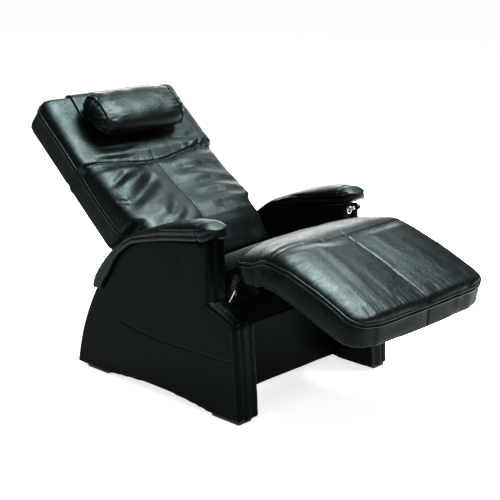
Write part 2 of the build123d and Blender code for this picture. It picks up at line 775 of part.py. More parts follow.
def head_pillow():
    """Half-round head pillow that lies on the strap."""
    low = UPPER_TOP + STRAP_THICKNESS + 2 * SOFT_GAP
    top = low + PILLOW_HEIGHT
    middle = (PILLOW_START + PILLOW_END) / 2
    outline = make_face(
        [
            Line((PILLOW_START + 12, low), (PILLOW_END - 12, low)),
            ThreePointArc((PILLOW_END - 12, low), (PILLOW_END, low + 30), (PILLOW_END - 22, low + 66)),
            ThreePointArc((PILLOW_END - 22, low + 66), (middle, top), (PILLOW_START + 22, low + 66)),
            ThreePointArc(
                (PILLOW_START + 22, low + 66), (PILLOW_START, low + 30), (PILLOW_START + 12, low)
            ),
        ]
    )
    return centred_prism(BACK, outline, PILLOW_HALF_WIDTH)


def counterweight():
    """Padded weight on the strap behind the back."""
    above = -UPPER_PANEL_DEPTH - STRAP_THICKNESS - 2 * SOFT_GAP - WEIGHT_DIAMETER / 2
    along = WEIGHT_START + WEIGHT_DIAMETER / 2
    half = STRAP_HALF_WIDTH - 8
    return rod_across(BACK, along, above, WEIGHT_DIAMETER / 2, -half, half)


def gas_spring_plane():
    """Plane at the anchor pin with its first axis towards the rod end."""
    return Plane(
        origin=(0, ANCHOR_Y, ANCHOR_Z),
        x_dir=(0, ROD_END_Y - ANCHOR_Y, ROD_END_Z - ANCHOR_Z),
        z_dir=(-1, 0, 0),
    )


def eye_rod(plane, along, radius):
    """Short rod across the gas spring, for the eye at one of its ends or the bore in it."""
    return rod_across(plane, along, 0, radius, -EYE_HALF_WIDTH, EYE_HALF_WIDTH)


def gas_parts():
    """Gas spring: cylinder on the anchor pin, and rod with an open eye round the seat's pin."""
    plane = gas_spring_plane()
    reach = Vector(0, ROD_END_Y - ANCHOR_Y, ROD_END_Z - ANCHOR_Z).length
    start = EYE_RADIUS - 1
    end = start + CYLINDER_LENGTH
    cylinder = rod_along(plane, start, end, CYLINDER_RADIUS)
    cylinder -= rod_along(plane, start + END_WALL, end - END_WALL, CYLINDER_BORE)
    cylinder -= rod_along(plane, end - 2 * END_WALL, end + END_WALL, ROD_RADIUS + RUNNING_CLEARANCE)
    cylinder += eye_rod(plane, 0, EYE_RADIUS)
    cylinder -= eye_rod(plane, 0, HINGE_PIN_RADIUS + RUNNING_CLEARANCE)
    rod_start = end - ROD_INSIDE
    rod = rod_along(plane, rod_start, reach - EYE_RADIUS + 2, ROD_RADIUS)
    rod += rod_along(plane, rod_start, rod_start + PISTON_LENGTH, CYLINDER_BORE - 0.1)
    rod += eye_rod(plane, reach, EYE_RADIUS)
    rod -= eye_rod(plane, reach, OPEN_PIVOT_BORE)
    return {"gas_cylinder": cylinder, "gas_rod": rod}


def lever_parts():
    """Release lever below the front of the left arm pad."""
    root = Vector(LEVER_X, LEVER_Y, LEVER_Z)
    reach = Vector(0, -LEVER_REACH, LEVER_RISE)
    line = Plane(origin=root, x_dir=(1, 0, 0), z_dir=reach)
    shaft = line * Pos(0, 0, reach.length / 2) * Cylinder(LEVER_STEM_RADIUS, reach.length)
    ball = line * Pos(0, 0, reach.length * 0.62) * Sphere(LEVER_BALL_RADIUS)
    root_ball = line * Sphere(LEVER_BALL_RADIUS - 1)
    knob = line * Pos(0, 0, reach.length + 6) * Sphere(LEVER_KNOB_RADIUS)
    return {"lever_stem": shaft + ball + root_ball, "lever_knob": knob - shaft}


def main():
    os.makedirs("parts", exist_ok=True)
    parts = base_parts() | seat_parts() | leg_parts() | back_parts() | gas_parts() | lever_parts()
    parts["head_pillow"] = head_pillow()
    parts["pillow_counterweight"] = counterweight()
    for name, shape in parts.items():
        export_step(Pos(0, -ORIGIN_Y, 0) * shape, f"parts/{name}.step")


main()
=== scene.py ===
import json
import math

import bmesh
import bpy
import numpy as np
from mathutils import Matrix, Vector
from mathutils.bvhtree import BVHTree


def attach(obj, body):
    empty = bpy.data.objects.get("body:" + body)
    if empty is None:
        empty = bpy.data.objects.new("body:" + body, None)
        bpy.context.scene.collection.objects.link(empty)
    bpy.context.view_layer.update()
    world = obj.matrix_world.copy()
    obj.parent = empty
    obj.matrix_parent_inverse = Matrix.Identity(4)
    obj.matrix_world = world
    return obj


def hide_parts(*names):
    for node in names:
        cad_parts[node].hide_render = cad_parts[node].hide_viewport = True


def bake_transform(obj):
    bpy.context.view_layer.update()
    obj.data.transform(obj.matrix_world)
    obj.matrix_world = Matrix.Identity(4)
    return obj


# Reclining leather armchair: the looks built round the CAD frame. Sizes are in millimetres in
# the chair's drawing frame, whose Y is ORIGIN_Y more than the model's, and meshes are in metres
# in the model's frame. A cushion is shaped in its own straight axes (x across, s or q along,
# h above its board), and then carried to where it lies.

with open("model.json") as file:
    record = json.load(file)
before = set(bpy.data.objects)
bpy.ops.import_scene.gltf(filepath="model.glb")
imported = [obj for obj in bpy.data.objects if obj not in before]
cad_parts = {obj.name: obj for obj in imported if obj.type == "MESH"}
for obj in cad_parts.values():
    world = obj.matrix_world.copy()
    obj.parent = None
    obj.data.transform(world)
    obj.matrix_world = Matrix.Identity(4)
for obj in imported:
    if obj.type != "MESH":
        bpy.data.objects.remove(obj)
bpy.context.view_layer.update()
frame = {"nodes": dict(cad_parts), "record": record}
SCENE = bpy.context.scene
MM = 0.001
ORIGIN_Y = 313.0

# Seat and leg rest: half-widths, lengths, slopes and the bend over the knee
SEAT_HALF = 248.0
LEG_HALF = 297.0
SEAT_LENGTH = 478.0
LEG_LENGTH = 354.0
SEAT_UP = math.radians(20.0)
KNEE_TURN = math.radians(42.8)
KNEE_RADIUS = 112.0
KNEE_ARC = KNEE_RADIUS * KNEE_TURN

# Back: where it starts above the crease, its half-widths between the arms, above them and at the
# top, where the two widenings begin, and its top end with its corners
BACK_START = 52.0
LOW_HALF = 258.0
MIDDLE_HALF = 281.0
TOP_HALF = 297.0
ARM_CLEAR_S = 206.0
SHOULDER_S = 470.0
TOP_S = 766.0
TOP_CORNER = 42.0

# Stitches and piping
STITCH_PITCH = 6.5
THREAD_RADIUS = 0.55
WELT_RADIUS = 2.8
WELT_DROP = 9.0
LEG_WELT_DROP = 10.0

# Voxels of the remeshes, and steps of the cloth simulation
CLOTH_FRAMES = 20
CUSHION_VOXEL = 5.5
PILLOW_VOXEL = 5.0
PANEL_VOXEL = 4.0


# ---------- frames and small maths

def chair(points):
    """Drawing-frame millimetres to model-frame metres."""
    out = np.array(points, float).reshape(-1, 3).copy()
    out[:, 1] -= ORIGIN_Y
    return out * MM


def drawn(ob):
    """A mesh's x, y and z in the drawing frame's millimetres."""
    return (points(ob) / MM + [0, ORIGIN_Y, 0]).T


class Axes:
    """A straight cushion's own axes: x across, s up along it, h out from it."""

    def __init__(self, y, z, degrees):
        turn = math.radians(degrees)
        self.origin = np.array([0.0, y, z])
        self.along = np.array([0.0, math.cos(turn), math.sin(turn)])
        self.above = np.array([0.0, -math.sin(turn), math.cos(turn)])

    def out(self, points):
        p = np.array(points, float).reshape(-1, 3)
        world = self.origin + p[:, 1:2] * self.along + p[:, 2:3] * self.above
        world[:, 0] = p[:, 0]
        return chair(world)

    def own(self, points):
        p = np.array(points, float).reshape(-1, 3) / MM
        p[:, 1] += ORIGIN_Y
        rel = p - self.origin
        return np.stack([p[:, 0], rel @ self.along, rel @ self.above], 1)


BACK = Axes(436.96, 260.97, 41.0)
KNEE = np.array([0.0, -38.0, 415.0])


def knee_out(points):
    """Straightened seat and leg rest (x, q, h) to the model frame. q is 0 where the seat ends
    and the bend over the knee begins, negative on the seat, and past the bend on the leg rest."""
    p = np.array(points, float).reshape(-1, 3)
    turn = SEAT_UP - np.clip(p[:, 1], 0, KNEE_ARC) / KNEE_RADIUS
    above = np.stack([np.zeros(len(p)), np.sin(turn), np.cos(turn)], 1)
    forward = np.stack([np.zeros(len(p)), -np.cos(turn), np.sin(turn)], 1)
    past = np.where(p[:, 1] < 0, p[:, 1], np.maximum(p[:, 1] - KNEE_ARC, 0))
    world = KNEE + above * p[:, 2:3] + forward * past[:, None]
    world[:, 0] = p[:, 0]
    return chair(world)


def knee_own(points):
    """The model frame back to the straightened seat and leg rest (x, q, h)."""
    p = np.array(points, float).reshape(-1, 3) / MM
    p[:, 1] += ORIGIN_Y
    rel = p - KNEE
    angle = np.arctan2(rel[:, 1], rel[:, 2])
    leg_up = SEAT_UP - KNEE_TURN
    q = np.zeros(len(p))
    h = np.hypot(rel[:, 1], rel[:, 2])
    on_seat = angle > SEAT_UP
    on_leg = angle < leg_up
    bent = ~(on_seat | on_leg)
    q[bent] = (SEAT_UP - angle[bent]) * KNEE_RADIUS
    for chosen, up, start in ((on_seat, SEAT_UP, 0.0), (on_leg, leg_up, KNEE_ARC)):
        above = np.array([0, math.sin(up), math.cos(up)])
        forward = np.array([0, -math.cos(up), math.sin(up)])
        q[chosen] = rel[chosen] @ forward + start
        h[chosen] = rel[chosen] @ above
    return np.stack([p[:, 0], q, h], 1)


def smooth(t):
    """Eased step from 0 to 1 while t goes from 0 to 1."""
    t = np.clip(t, 0.0, 1.0)
    return t * t * (3 - 2 * t)


TABLE = np.random.RandomState(11).rand(4096)


def value_noise(*coords):
    """Smooth noise in -1..1 from one, two or three coordinates."""
    coords = [np.asarray(c, float) for c in coords]
    total = 0.0
    cells = [np.floor(c).astype(int) for c in coords]
    parts = [smooth(c - f) for c, f in zip(coords, cells)]
    primes = (1619, 31337, 6971)
    for corner in range(2 ** len(coords)):
        weight, key = 1.0, 0
        for i in range(len(coords)):
            bit = corner >> i & 1
            weight = weight * (parts[i] if bit else 1 - parts[i])
            key = key + (cells[i] + bit) * primes[i]
        total = total + weight * TABLE[np.mod(key * 13 + 7, 4096)]
    return total * 2 - 1


# ---------- mesh helpers

def add_mesh(name, verts, faces):
    mesh = bpy.data.meshes.new(name)
    mesh.from_pydata([tuple(v) for v in verts], [], [tuple(f) for f in faces])
    mesh.validate()
    mesh.update()
    ob = bpy.data.objects.new(name, mesh)
    SCENE.collection.objects.link(ob)
    return ob


def vectors(items, field):
    """One vector for each of a mesh's vertices or faces."""
    values = np.zeros(len(items) * 3, np.float32)
    items.foreach_get(field, values)
    return values.reshape(-1, 3).astype(float)


def points(ob):
    return vectors(ob.data.vertices, "co")


def set_points(ob, co):
    ob.data.vertices.foreach_set("co", np.asarray(co, np.float32).ravel())
    ob.data.update()


def normals(ob):
    return vectors(ob.data.vertices, "normal")


def raised(ob, n, d):
    """Moves each vertex d millimetres along its normal n."""
    set_points(ob, points(ob) + n * (d * MM)[:, None])


def applied(ob):
    """The object with its modifiers applied."""
    graph = bpy.context.evaluated_depsgraph_get()
    mesh = bpy.data.meshes.new_from_object(ob.evaluated_get(graph))
    ob.modifiers.clear()
    ob.data = mesh
    return ob


def remeshed(ob, voxel, rounds):
    """Voxel remesh in millimetres, then a few rounds of smoothing that soften the edges."""
    mod = ob.modifiers.new("remesh", "REMESH")
    mod.mode = "VOXEL"
    mod.voxel_size = voxel * MM
    applied(ob)
    mod = ob.modifiers.new("smooth", "SMOOTH")
    mod.iterations = rounds
    mod.factor = 0.5
    return applied(ob)


def subdivided(ob):
    mod = ob.modifiers.new("subdivide", "SUBSURF")
    mod.levels = mod.render_levels = 1
    return applied(ob)


def smooth_faces(ob):
    ob.data.polygons.foreach_set("use_smooth", [True] * len(ob.data.polygons))
    ob.data.update()
    return ob


def slab(name, outline, low, high):
    """Closed prism in a cushion's own millimetres, over an outline of (x, s) points."""
    n = len(outline)
    verts = [(x, s, h) for h in (low, high) for x, s in outline]
    faces = [list(range(n))[::-1], list(range(n, 2 * n))]
    faces += [[i, (i + 1) % n, n + (i + 1) % n, n + i] for i in range(n)]
    ob = add_mesh(name, np.array(verts) * MM, faces)
    fix_normals(ob)
    return ob


def fix_normals(ob):
    """Turns every face outwards."""
    bm = bmesh.new()
    bm.from_mesh(ob.data)
    bmesh.ops.recalc_face_normals(bm, faces=bm.faces)
    bm.to_mesh(ob.data)
    bm.free()


def copy_of(node, name):
    """A new object with a copy of a CAD node's mesh, to be remeshed and shaped."""
    ob = bpy.data.objects.new(name, frame["nodes"][node].data.copy())
    SCENE.collection.objects.link(ob)
    ob.data.materials.clear()
    return ob


def grouped(ob, name, weight, levels, under, over):
    """Vertex group with each level where the weight is near it."""
    group = ob.vertex_groups.new(name=name)
    for level in levels:
        chosen = np.nonzero((weight > level - under) & (weight <= level + over))[0]
        group.add(chosen.tolist(), level, "REPLACE")
    return group


def swell(ob, pins, pressure, slack, cap):
    """Cloth simulation: the cover fills with pressure and has a share of slack leather, so that
    it puckers along the seams that are pinned. No point moves further than cap millimetres."""
    rest = points(ob)
    group = grouped(ob, "pins", pins, (1.0, 0.6, 0.3), 0.31, 0.001)
    mod = ob.modifiers.new("cloth", "CLOTH")
    cloth = mod.settings
    cloth.quality = 5
    cloth.mass = 0.4
    cloth.tension_stiffness = cloth.compression_stiffness = 12
    cloth.shear_stiffness = 6
    cloth.bending_stiffness = 6
    cloth.tension_damping = cloth.compression_damping = 8
    cloth.air_damping = 2
    cloth.use_pressure = True
    cloth.uniform_pressure_force = pressure
    cloth.shrink_min = cloth.shrink_max = -slack
    cloth.vertex_group_mass = "pins"
    cloth.pin_stiffness = 5
    cloth.effector_weights.gravity = 0
    mod.collision_settings.use_collision = False
    mod.collision_settings.use_self_collision = False
    mod.point_cache.frame_start = 1
    mod.point_cache.frame_end = CLOTH_FRAMES
    for number in range(1, CLOTH_FRAMES + 1):
        SCENE.frame_set(number)
    graph = bpy.context.evaluated_depsgraph_get()
    shift = vectors(ob.evaluated_get(graph).to_mesh().vertices, "co") - rest
    ob.modifiers.remove(mod)
    ob.vertex_groups.remove(group)
    shift = settled(ob, shift, 14) * (1 - pins)[:, None]
    length = np.linalg.norm(shift, axis=1, keepdims=True)
    limit = cap * MM
    shift *= limit * np.tanh(length / limit) / np.maximum(length, 1e-9)
    set_points(ob, rest + shift)
    SCENE.frame_set(1)


def settled(ob, shift, rounds):
    """The moves of a mesh's vertices averaged with their neighbours', which keeps the swell
    and the broad puckers and loses the fine crumpling."""
    ends = np.zeros(len(ob.data.edges) * 2, np.int32)
    ob.data.edges.foreach_get("vertices", ends)
    first, second = ends.reshape(-1, 2).T
    here, there = np.concatenate([first, second]), np.concatenate([second, first])
    count = np.maximum(np.bincount(here, minlength=len(shift)), 1)
    for _ in range(rounds):
        near = [np.bincount(here, shift[there, axis], len(shift)) / count for axis in range(3)]
        shift = 0.4 * shift + 0.6 * np.stack(near, 1)
    return shift


def line_distance(p, line):
    """Distance of 2-D points from a polyline, and how far along it the nearest place is."""
    best = np.full(len(p), 1e9)
    along = np.zeros(len(p))
    start = 0.0
    for a, b in zip(line[:-1], line[1:]):
        a, b = np.array(a, float), np.array(b, float)
        d = b - a
        length = np.linalg.norm(d)
        t = np.clip((p - a) @ d / length ** 2, 0, 1)
        gap = np.linalg.norm(p - (a + t[:, None] * d), axis=1)
        closer = gap < best
        best[closer] = gap[closer]
        along[closer] = start + t[closer] * length
        start += length
    return best, along


def curve_through(knots, step=6.0):
    """Smooth Catmull-Rom line through points, resampled to even steps."""
    k = np.array(knots, float)
    ends = np.vstack([2 * k[0] - k[1], k, 2 * k[-1] - k[-2]])
    fine = []
    for i in range(1, len(ends) - 2):
        p0, p1, p2, p3 = ends[i - 1:i + 3]
        for t in np.linspace(0, 1, 24, endpoint=False):
            fine.append(0.5 * (2 * p1 + (p2 - p0) * t + (2 * p0 - 5 * p1 + 4 * p2 - p3) * t ** 2
                               + (3 * p1 - p0 - 3 * p2 + p3) * t ** 3))
    fine.append(k[-1])
    return even(np.array(fine), step)


def reach(line):
    """How far along a polyline each of its points is."""
    return np.concatenate([[0], np.cumsum(np.linalg.norm(np.diff(line, axis=0), axis=1))])


def even(line, step):
    """A polyline resampled to even steps, in its own units."""
    far = reach(line)
    count = max(2, int(round(far[-1] / step)) + 1)
    marks = np.linspace(0, far[-1], count)
    return np.stack([np.interp(marks, far, line[:, i]) for i in range(line.shape[1])], 1)


def tube_parts(line, radius, sides):
    """Vertices and faces of a round tube along a line, with a blunt point at each end."""
    line = np.asarray(line, float)
    n = len(line)
    tangents = np.gradient(line, axis=0)
    tangents /= np.maximum(np.linalg.norm(tangents, axis=1, keepdims=True), 1e-12)
    up = np.array([0.0, 0.0, 1.0]) if abs(tangents[0][2]) < 0.9 else np.array([1.0, 0.0, 0.0])
    verts, faces = [], []
    for i in range(n):
        up = up - tangents[i] * (up @ tangents[i])
        up /= np.linalg.norm(up)
        side = np.cross(tangents[i], up)
        for j in range(sides):
            a = 2 * math.pi * j / sides
            verts.append(line[i] + radius * (math.cos(a) * up + math.sin(a) * side))
    for i in range(n - 1):
        for j in range(sides):
            a, b = i * sides + j, i * sides + (j + 1) % sides
            faces.append((a, b, b + sides, a + sides))
    for end, ring in ((0, 0), (n - 1, (n - 1) * sides)):
        tip = line[end] + tangents[end] * radius * (0.6 if end else -0.6)
        verts.append(tip)
        for j in range(sides):
            a, b = ring + j, ring + (j + 1) % sides
            faces.append((a, b, len(verts) - 1) if end else (b, a, len(verts) - 1))
    return verts, faces


def tubes(name, lines, radius, sides=8):
    """One mesh of round tubes along lines in metres, with a radius in millimetres."""
    verts, faces = [], []
    for line in lines:
        v, f = tube_parts(line, radius * MM, sides)
        faces += [tuple(i + len(verts) for i in face) for face in f]
        verts += v
    ob = add_mesh(name, verts, faces)
    fix_normals(ob)
    return smooth_faces(ob)


def stitches(name, lines):
    """A piece of short threads along lines that lie on a surface, in metres."""
    dashes = []
    for line in lines:
        holes = even(line, STITCH_PITCH * MM)
        for a, b in zip(holes[:-1], holes[1:]):
            gap = (b - a) * 0.16
            dashes.append(np.array([a + gap, (a + b) / 2, b - gap]))
    ob = tubes(name, dashes, THREAD_RADIUS, 5)
    finish_piece(ob, THREAD, "black_leather")
    return ob


def tree_of(ob):
    return BVHTree.FromPolygons([v.co for v in ob.data.vertices],
                                [tuple(p.vertices) for p in ob.data.polygons])


def onto(tree, line, lift, toward=None):
    """A line laid on a surface, at the nearest places or along a direction, lift mm above."""
    out = []
    for p in line:
        place = None
        if toward is not None:
            d = Vector(toward).normalized()
            place, normal, _, _ = tree.ray_cast(Vector(p) - d * 0.25, d)
        if place is None:
            place, normal, _, _ = tree.find_nearest(Vector(p))
        out.append(np.array(place) + np.array(normal) * lift * MM)
    return np.array(out)


def groove(depth, width, distance):
    """A rounded channel, as a move along the normal at a distance from its middle."""
    return -depth * np.exp(-(distance / width) ** 2)


def gathers(amount, reach, wave, distance, along, seed):
    """Small folds square to a seam that die away from it."""
    ripple = value_noise(along / wave + seed, distance / (wave * 3.0) + seed * 0.7)
    fine = value_noise(along / (wave * 0.45) + seed * 3.1, distance / (wave * 2.0))
    return amount * np.exp(-distance / reach) * (ripple * 0.75 + fine * 0.35)


# ---------- materials

def node(tree, kind, **inputs):
    n = tree.nodes.new(kind)
    for key, value in inputs.items():
        n.inputs[key.replace("_", " ")].default_value = value
    return n


def new_material(name):
    mat = bpy.data.materials.new(name)
    mat.use_nodes = True
    tree = mat.node_tree
    return mat, tree, tree.nodes["Principled BSDF"]


def mixed(tree, factor, first, second):
    """Colour mix node with two constant colours."""
    mix = tree.nodes.new("ShaderNodeMix")
    mix.data_type = "RGBA"
    mix.inputs[6].default_value = (*first, 1)
    mix.inputs[7].default_value = (*second, 1)
    tree.links.new(factor, mix.inputs[0])
    return mix.outputs[2]


def ranged(tree, value, low, high, to_low, to_high):
    """A value's range from low to high carried to another range, and held inside it."""
    r = node(tree, "ShaderNodeMapRange", From_Min=low, From_Max=high, To_Min=to_low, To_Max=to_high)
    tree.links.new(value, r.inputs["Value"])
    return r.outputs["Result"]


def noise(tree, place, **inputs):
    """Noise between 0 and 1 over places."""
    texture = node(tree, "ShaderNodeTexNoise", **inputs)
    tree.links.new(place, texture.inputs["Vector"])
    return texture.outputs["Fac"]


def bump(tree, height, strength, distance):
    """Bump node over a height."""
    b = node(tree, "ShaderNodeBump", Strength=strength, Distance=distance)
    tree.links.new(height, b.inputs["Height"])
    return b


def leather(name, dark, light, specular, rough=(0.33, 0.46), grain=620.0, wrinkle=0.35):
    """Black upholstery leather: cloudy colour, uneven gloss, pebble grain and fine creases."""
    mat, tree, bsdf = new_material(name)
    place = tree.nodes.new("ShaderNodeTexCoord").outputs["Object"]
    cloud = noise(tree, place, Scale=9.0, Detail=4.0, Roughness=0.6)
    colour = mixed(tree, ranged(tree, cloud, 0.35, 0.68, 0, 1), dark, light)
    tree.links.new(colour, bsdf.inputs["Base Color"])
    patch = noise(tree, place, Scale=26.0, Detail=5.0, Roughness=0.62)
    tree.links.new(ranged(tree, patch, 0.3, 0.7, *rough), bsdf.inputs["Roughness"])
    cells = node(tree, "ShaderNodeTexVoronoi", Scale=grain)
    cells.feature = "SMOOTH_F1"
    tree.links.new(place, cells.inputs["Vector"])
    pebble = bump(tree, cells.outputs["Distance"], 0.35, 0.0005)
    pebble.invert = True
    fine = noise(tree, place, Scale=70.0, Detail=5.0, Roughness=0.55, Distortion=0.8)
    creases = bump(tree, fine, wrinkle, 0.0022)
    tree.links.new(pebble.outputs["Normal"], creases.inputs["Normal"])
    tree.links.new(creases.outputs["Normal"], bsdf.inputs["Normal"])
    bsdf.inputs["Specular IOR Level"].default_value = specular
    bsdf.inputs["Specular Tint"].default_value = (0.70, 1.0, 1.0, 1)
    return mat


def metal(name, colour, rough, scratch, metallic=1.0, scale=90.0):
    """Bare metal, or with metallic 0 paint or plastic, of slightly uneven gloss."""
    mat, tree, bsdf = new_material(name)
    place = tree.nodes.new("ShaderNodeTexCoord").outputs["Object"]
    cloud = noise(tree, place, Scale=scale, Detail=4.0, Roughness=0.6)
    tone = [c * 0.82 for c in colour]
    tree.links.new(mixed(tree, cloud, tone, colour), bsdf.inputs["Base Color"])
    tree.links.new(ranged(tree, cloud, 0.3, 0.7, *rough), bsdf.inputs["Roughness"])
    scratches = bump(tree, cloud, scratch, 0.0004)
    tree.links.new(scratches.outputs["Normal"], bsdf.inputs["Normal"])
    bsdf.inputs["Metallic"].default_value = metallic
    return mat


def wood(name):
    """Black-stained plywood with long streaks."""
    mat, tree, bsdf = new_material(name)
    place = tree.nodes.new("ShaderNodeTexCoord").outputs["Object"]
    stretch = node(tree, "ShaderNodeMapping", Scale=(30.0, 3.0, 30.0))
    tree.links.new(place, stretch.inputs["Vector"])
    grain = noise(tree, stretch.outputs["Vector"], Scale=3.0, Detail=8.0, Roughness=0.65,
                  Distortion=1.2)
    factor = ranged(tree, grain, 0.3, 0.7, 0, 1)
    colour = mixed(tree, factor, (0.018, 0.014, 0.011), (0.036, 0.029, 0.022))
    tree.links.new(colour, bsdf.inputs["Base Color"])
    tree.links.new(ranged(tree, grain, 0.3, 0.7, 0.45, 0.65), bsdf.inputs["Roughness"])
    ridges = bump(tree, grain, 0.25, 0.0006)
    tree.links.new(ridges.outputs["Normal"], bsdf.inputs["Normal"])
    return mat


LEATHER = leather("cover_leather", (0.0024, 0.0034, 0.0036), (0.0042, 0.0058, 0.0060),
                  specular=0.24)
# Panel leather: darker and far less glossy than the cover leather, as painted shade on the side
# panels and the other plain leather pieces that wear it
SHADED_PANEL_LEATHER = leather("panel_leather_painted_shade", (0.0020, 0.0027, 0.0028), (0.0032, 0.0043, 0.0046),
                       rough=(0.34, 0.45), specular=0.05, wrinkle=0.14)
# Band leather: a darker, less glossy copy of the cover leather, as painted shade on the covers'
# sides below the piping and on the pillow's ends
SHADED_BAND_LEATHER = leather("band_leather_painted_shade", (0.0020, 0.0028, 0.0030), (0.0034, 0.0046, 0.0048),
                       rough=(0.36, 0.48), specular=0.10, wrinkle=0.25)
PIPING = leather("piping_leather", (0.0040, 0.0056, 0.0058), (0.0070, 0.0092, 0.0096),
                 rough=(0.26, 0.36), grain=800.0, specular=0.32, wrinkle=0.12)
THREAD = leather("stitch_thread", (0.016, 0.018, 0.019), (0.030, 0.034, 0.035),
                 rough=(0.5, 0.62), grain=1500.0, specular=0.42, wrinkle=0.05)
CHROME = metal("chrome", (0.80, 0.81, 0.82), (0.26, 0.34), scratch=0.06)
STEEL = metal("black_steel", (0.020, 0.021, 0.022), (0.34, 0.48), scratch=0.25, metallic=0.0,
              scale=400.0)
ZINC = metal("zinc_steel", (0.56, 0.57, 0.58), (0.24, 0.38), scratch=0.12, scale=240.0)
PLASTIC = metal("black_plastic", (0.018, 0.018, 0.019), (0.42, 0.55), scratch=0.35,
                metallic=0.0, scale=900.0)
GLOSS = metal("gloss_knob", (0.010, 0.010, 0.011), (0.06, 0.14), scratch=0.03, metallic=0.0)
PLY = wood("plywood")

# The CAD nodes in black leather get the panel leather, whose darker colour and low gloss are
# painted shade
CARRIED = {
    "black_leather": SHADED_PANEL_LEATHER, "padded_leather": LEATHER, "plywood": PLY,
    "black_steel": STEEL, "chrome": CHROME, "zinc_steel": ZINC, "black_plastic": PLASTIC,
    "gloss_black": GLOSS,
}
SLOT_OF = {p["node"]: p["material_slot"] for p in frame["record"]["subparts"]}
for name, ob in frame["nodes"].items():
    ob.data.materials.clear()
    ob.data.materials.append(CARRIED[SLOT_OF[name]])


def finish_piece(ob, material, slot_name, *nodes):
    """A piece's material, and the CAD nodes whose place it takes and which it hides. The slot name
    is not used.
    """
    ob.data.materials.clear()
    ob.data.materials.append(material)
    if nodes:
        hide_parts(*nodes)
    smooth_faces(ob)


def face_centres(ob):
    return vectors(ob.data.polygons, "center")


def painted_shade_faces(ob, chosen):
    """Puts the band leather on the chosen faces: a darker, less glossy copy of the cover leather
    that is painted shade.
    """
    ob.data.materials.append(SHADED_BAND_LEATHER)
    ob.data.polygons.foreach_set("material_index", np.asarray(chosen, np.int32))
    ob.data.update()


# ---------- back

# The back's piping line, the crown of its front and its rear face: places s and heights h
BACK_PIPE = ([0, 60, 120, 233, 301, 361, 426, 478, 490, 537, 602, 671, 737, 764],
             [34, 40, 52, 57, 51, 47, 48, 53, 66, 69, 70, 68, 68, 70])
BACK_CROWN = ([50, 70, 90, 120, 150, 177, 205, 233, 311, 396,
               440, 454, 468, 500, 540, 700, 735, 752, 764],
              [98, 106, 112, 118, 123, 127, 127, 124, 110, 99,
               95, 91, 91, 96, 95, 98, 103, 104, 100])
BACK_REAR = ([0, 112, 233, 354, 480, 489, 740, 764], [-20, -24, -25, -27, -27, -7, -7, -4])


def back_half(s):
    """Half-width of the back: narrow between the arms, wide above them."""
    low = LOW_HALF + (MIDDLE_HALF - LOW_HALF) * smooth((s - ARM_CLEAR_S) / 36)
    return low + (TOP_HALF - MIDDLE_HALF) * smooth((s - SHOULDER_S) / 26)


def back_seam_at(x):
    """How far up the back the cross seam lies: it dips in the middle."""
    return 483.0 - 29.0 * (1 - smooth(np.abs(x) / 250.0))


def back_outline():
    left = [(back_half(s), s) for s in np.linspace(BACK_START, TOP_S - TOP_CORNER, 96)]
    half = left + top_corner(np.linspace(0.1, math.pi / 2, 9))
    return half + [(-x, s) for x, s in half[::-1]]


def top_corner(angles):
    """Points round the upper left corner of the back, as (x, s)."""
    return [(TOP_HALF - TOP_CORNER + TOP_CORNER * math.cos(a),
             TOP_S - TOP_CORNER + TOP_CORNER * math.sin(a)) for a in angles]


def make_back():
    low, high = -10, 56
    ob = slab("back_cover", back_outline(), low, high)
    remeshed(ob, CUSHION_VOXEL, 4)
    x, s, h = (points(ob) / MM).T
    share = np.clip((h - low) / (high - low), 0, 1)
    across = np.clip(np.abs(x) / (back_half(s) - 3), 0, 1)
    dome = (1 - across ** 17.0) ** 0.5
    pipe = np.interp(s, *BACK_PIPE)
    panels = 7 * np.sin(math.pi * across) * smooth((back_seam_at(x) - s) / 30)
    panels = panels * smooth((s - 90) / 60)
    top = pipe + (np.interp(s, *BACK_CROWN) + panels - pipe) * dome
    end = np.clip((s - (TOP_S - 26)) / 26, 0, 1)
    top = pipe + (top - pipe) * (1 - end ** 4) ** 0.5
    rear = np.interp(s, *BACK_REAR) - 7 * smooth((np.abs(x) - 195) / 60)
    set_points(ob, BACK.out(np.stack([x, s, rear + (top - rear) * share], 1)))
    seam = np.abs(s - back_seam_at(x))
    free = smooth((0.985 - across) / 0.05) * smooth((share - 0.72) / 0.2)
    free *= smooth((seam - 5) / 10) * smooth((s - 110) / 30)
    swell(ob, 1 - free, pressure=3.0, slack=0.012, cap=10)
    subdivided(ob)
    x, s, h = BACK.own(points(ob)).T
    n = normals(ob)
    front = smooth((n @ BACK.above - 0.25) / 0.4)
    seam = np.abs(s - back_seam_at(x))
    above_seam = s > back_seam_at(x)
    d = groove(4.5, 3.2, seam) * front
    d += gathers(2.0, 22.0, 24.0, seam, x + 900 * above_seam, 1.3) * front
    centre = np.abs(x)
    lower = smooth((back_seam_at(x) - s) / 6) * smooth((s - 70) / 60)
    stub = smooth((s - back_seam_at(x)) / 6) * smooth((500 - s) / 16)
    d += groove(3.0, 2.6, centre) * (lower + stub) * front
    d += gathers(1.4, 12.0, 24.0, centre, s, 4.1) * lower * front
    for line, depth, width in BACK_FOLDS:
        d += fold(np.stack([x, s], 1), line, depth, width) * front
    edge = np.maximum(back_half(s) - np.abs(x), 0)
    d += gathers(3.0, 24.0, 30.0, edge, s + 300 * (x > 0), 7.7) * front
    d += 1.8 * value_noise(x / 58, s / 74) * front * smooth((s - 70) / 30)
    side = smooth((np.abs(n[:, 0]) - 0.5) / 0.3)
    d += 0.9 * value_noise(s / 60, h / 30, x / 200) * side
    raised(ob, n, d)
    return ob


def fold(places, line, depth, width):
    """A soft fold along a line: a valley with a low ridge beside it, or the reverse when the
    depth is negative."""
    gap, far = line_distance(places, line)
    size = sum(math.dist(a, b) for a, b in zip(line[:-1], line[1:]))
    taper = smooth(far / (0.3 * size) + 0.1) * smooth((size - far) / (0.35 * size) + 0.05)
    lip = 0.45 * depth * np.exp(-((gap - 1.9 * width) / width) ** 2)
    return (groove(depth, width, gap) + lip) * taper


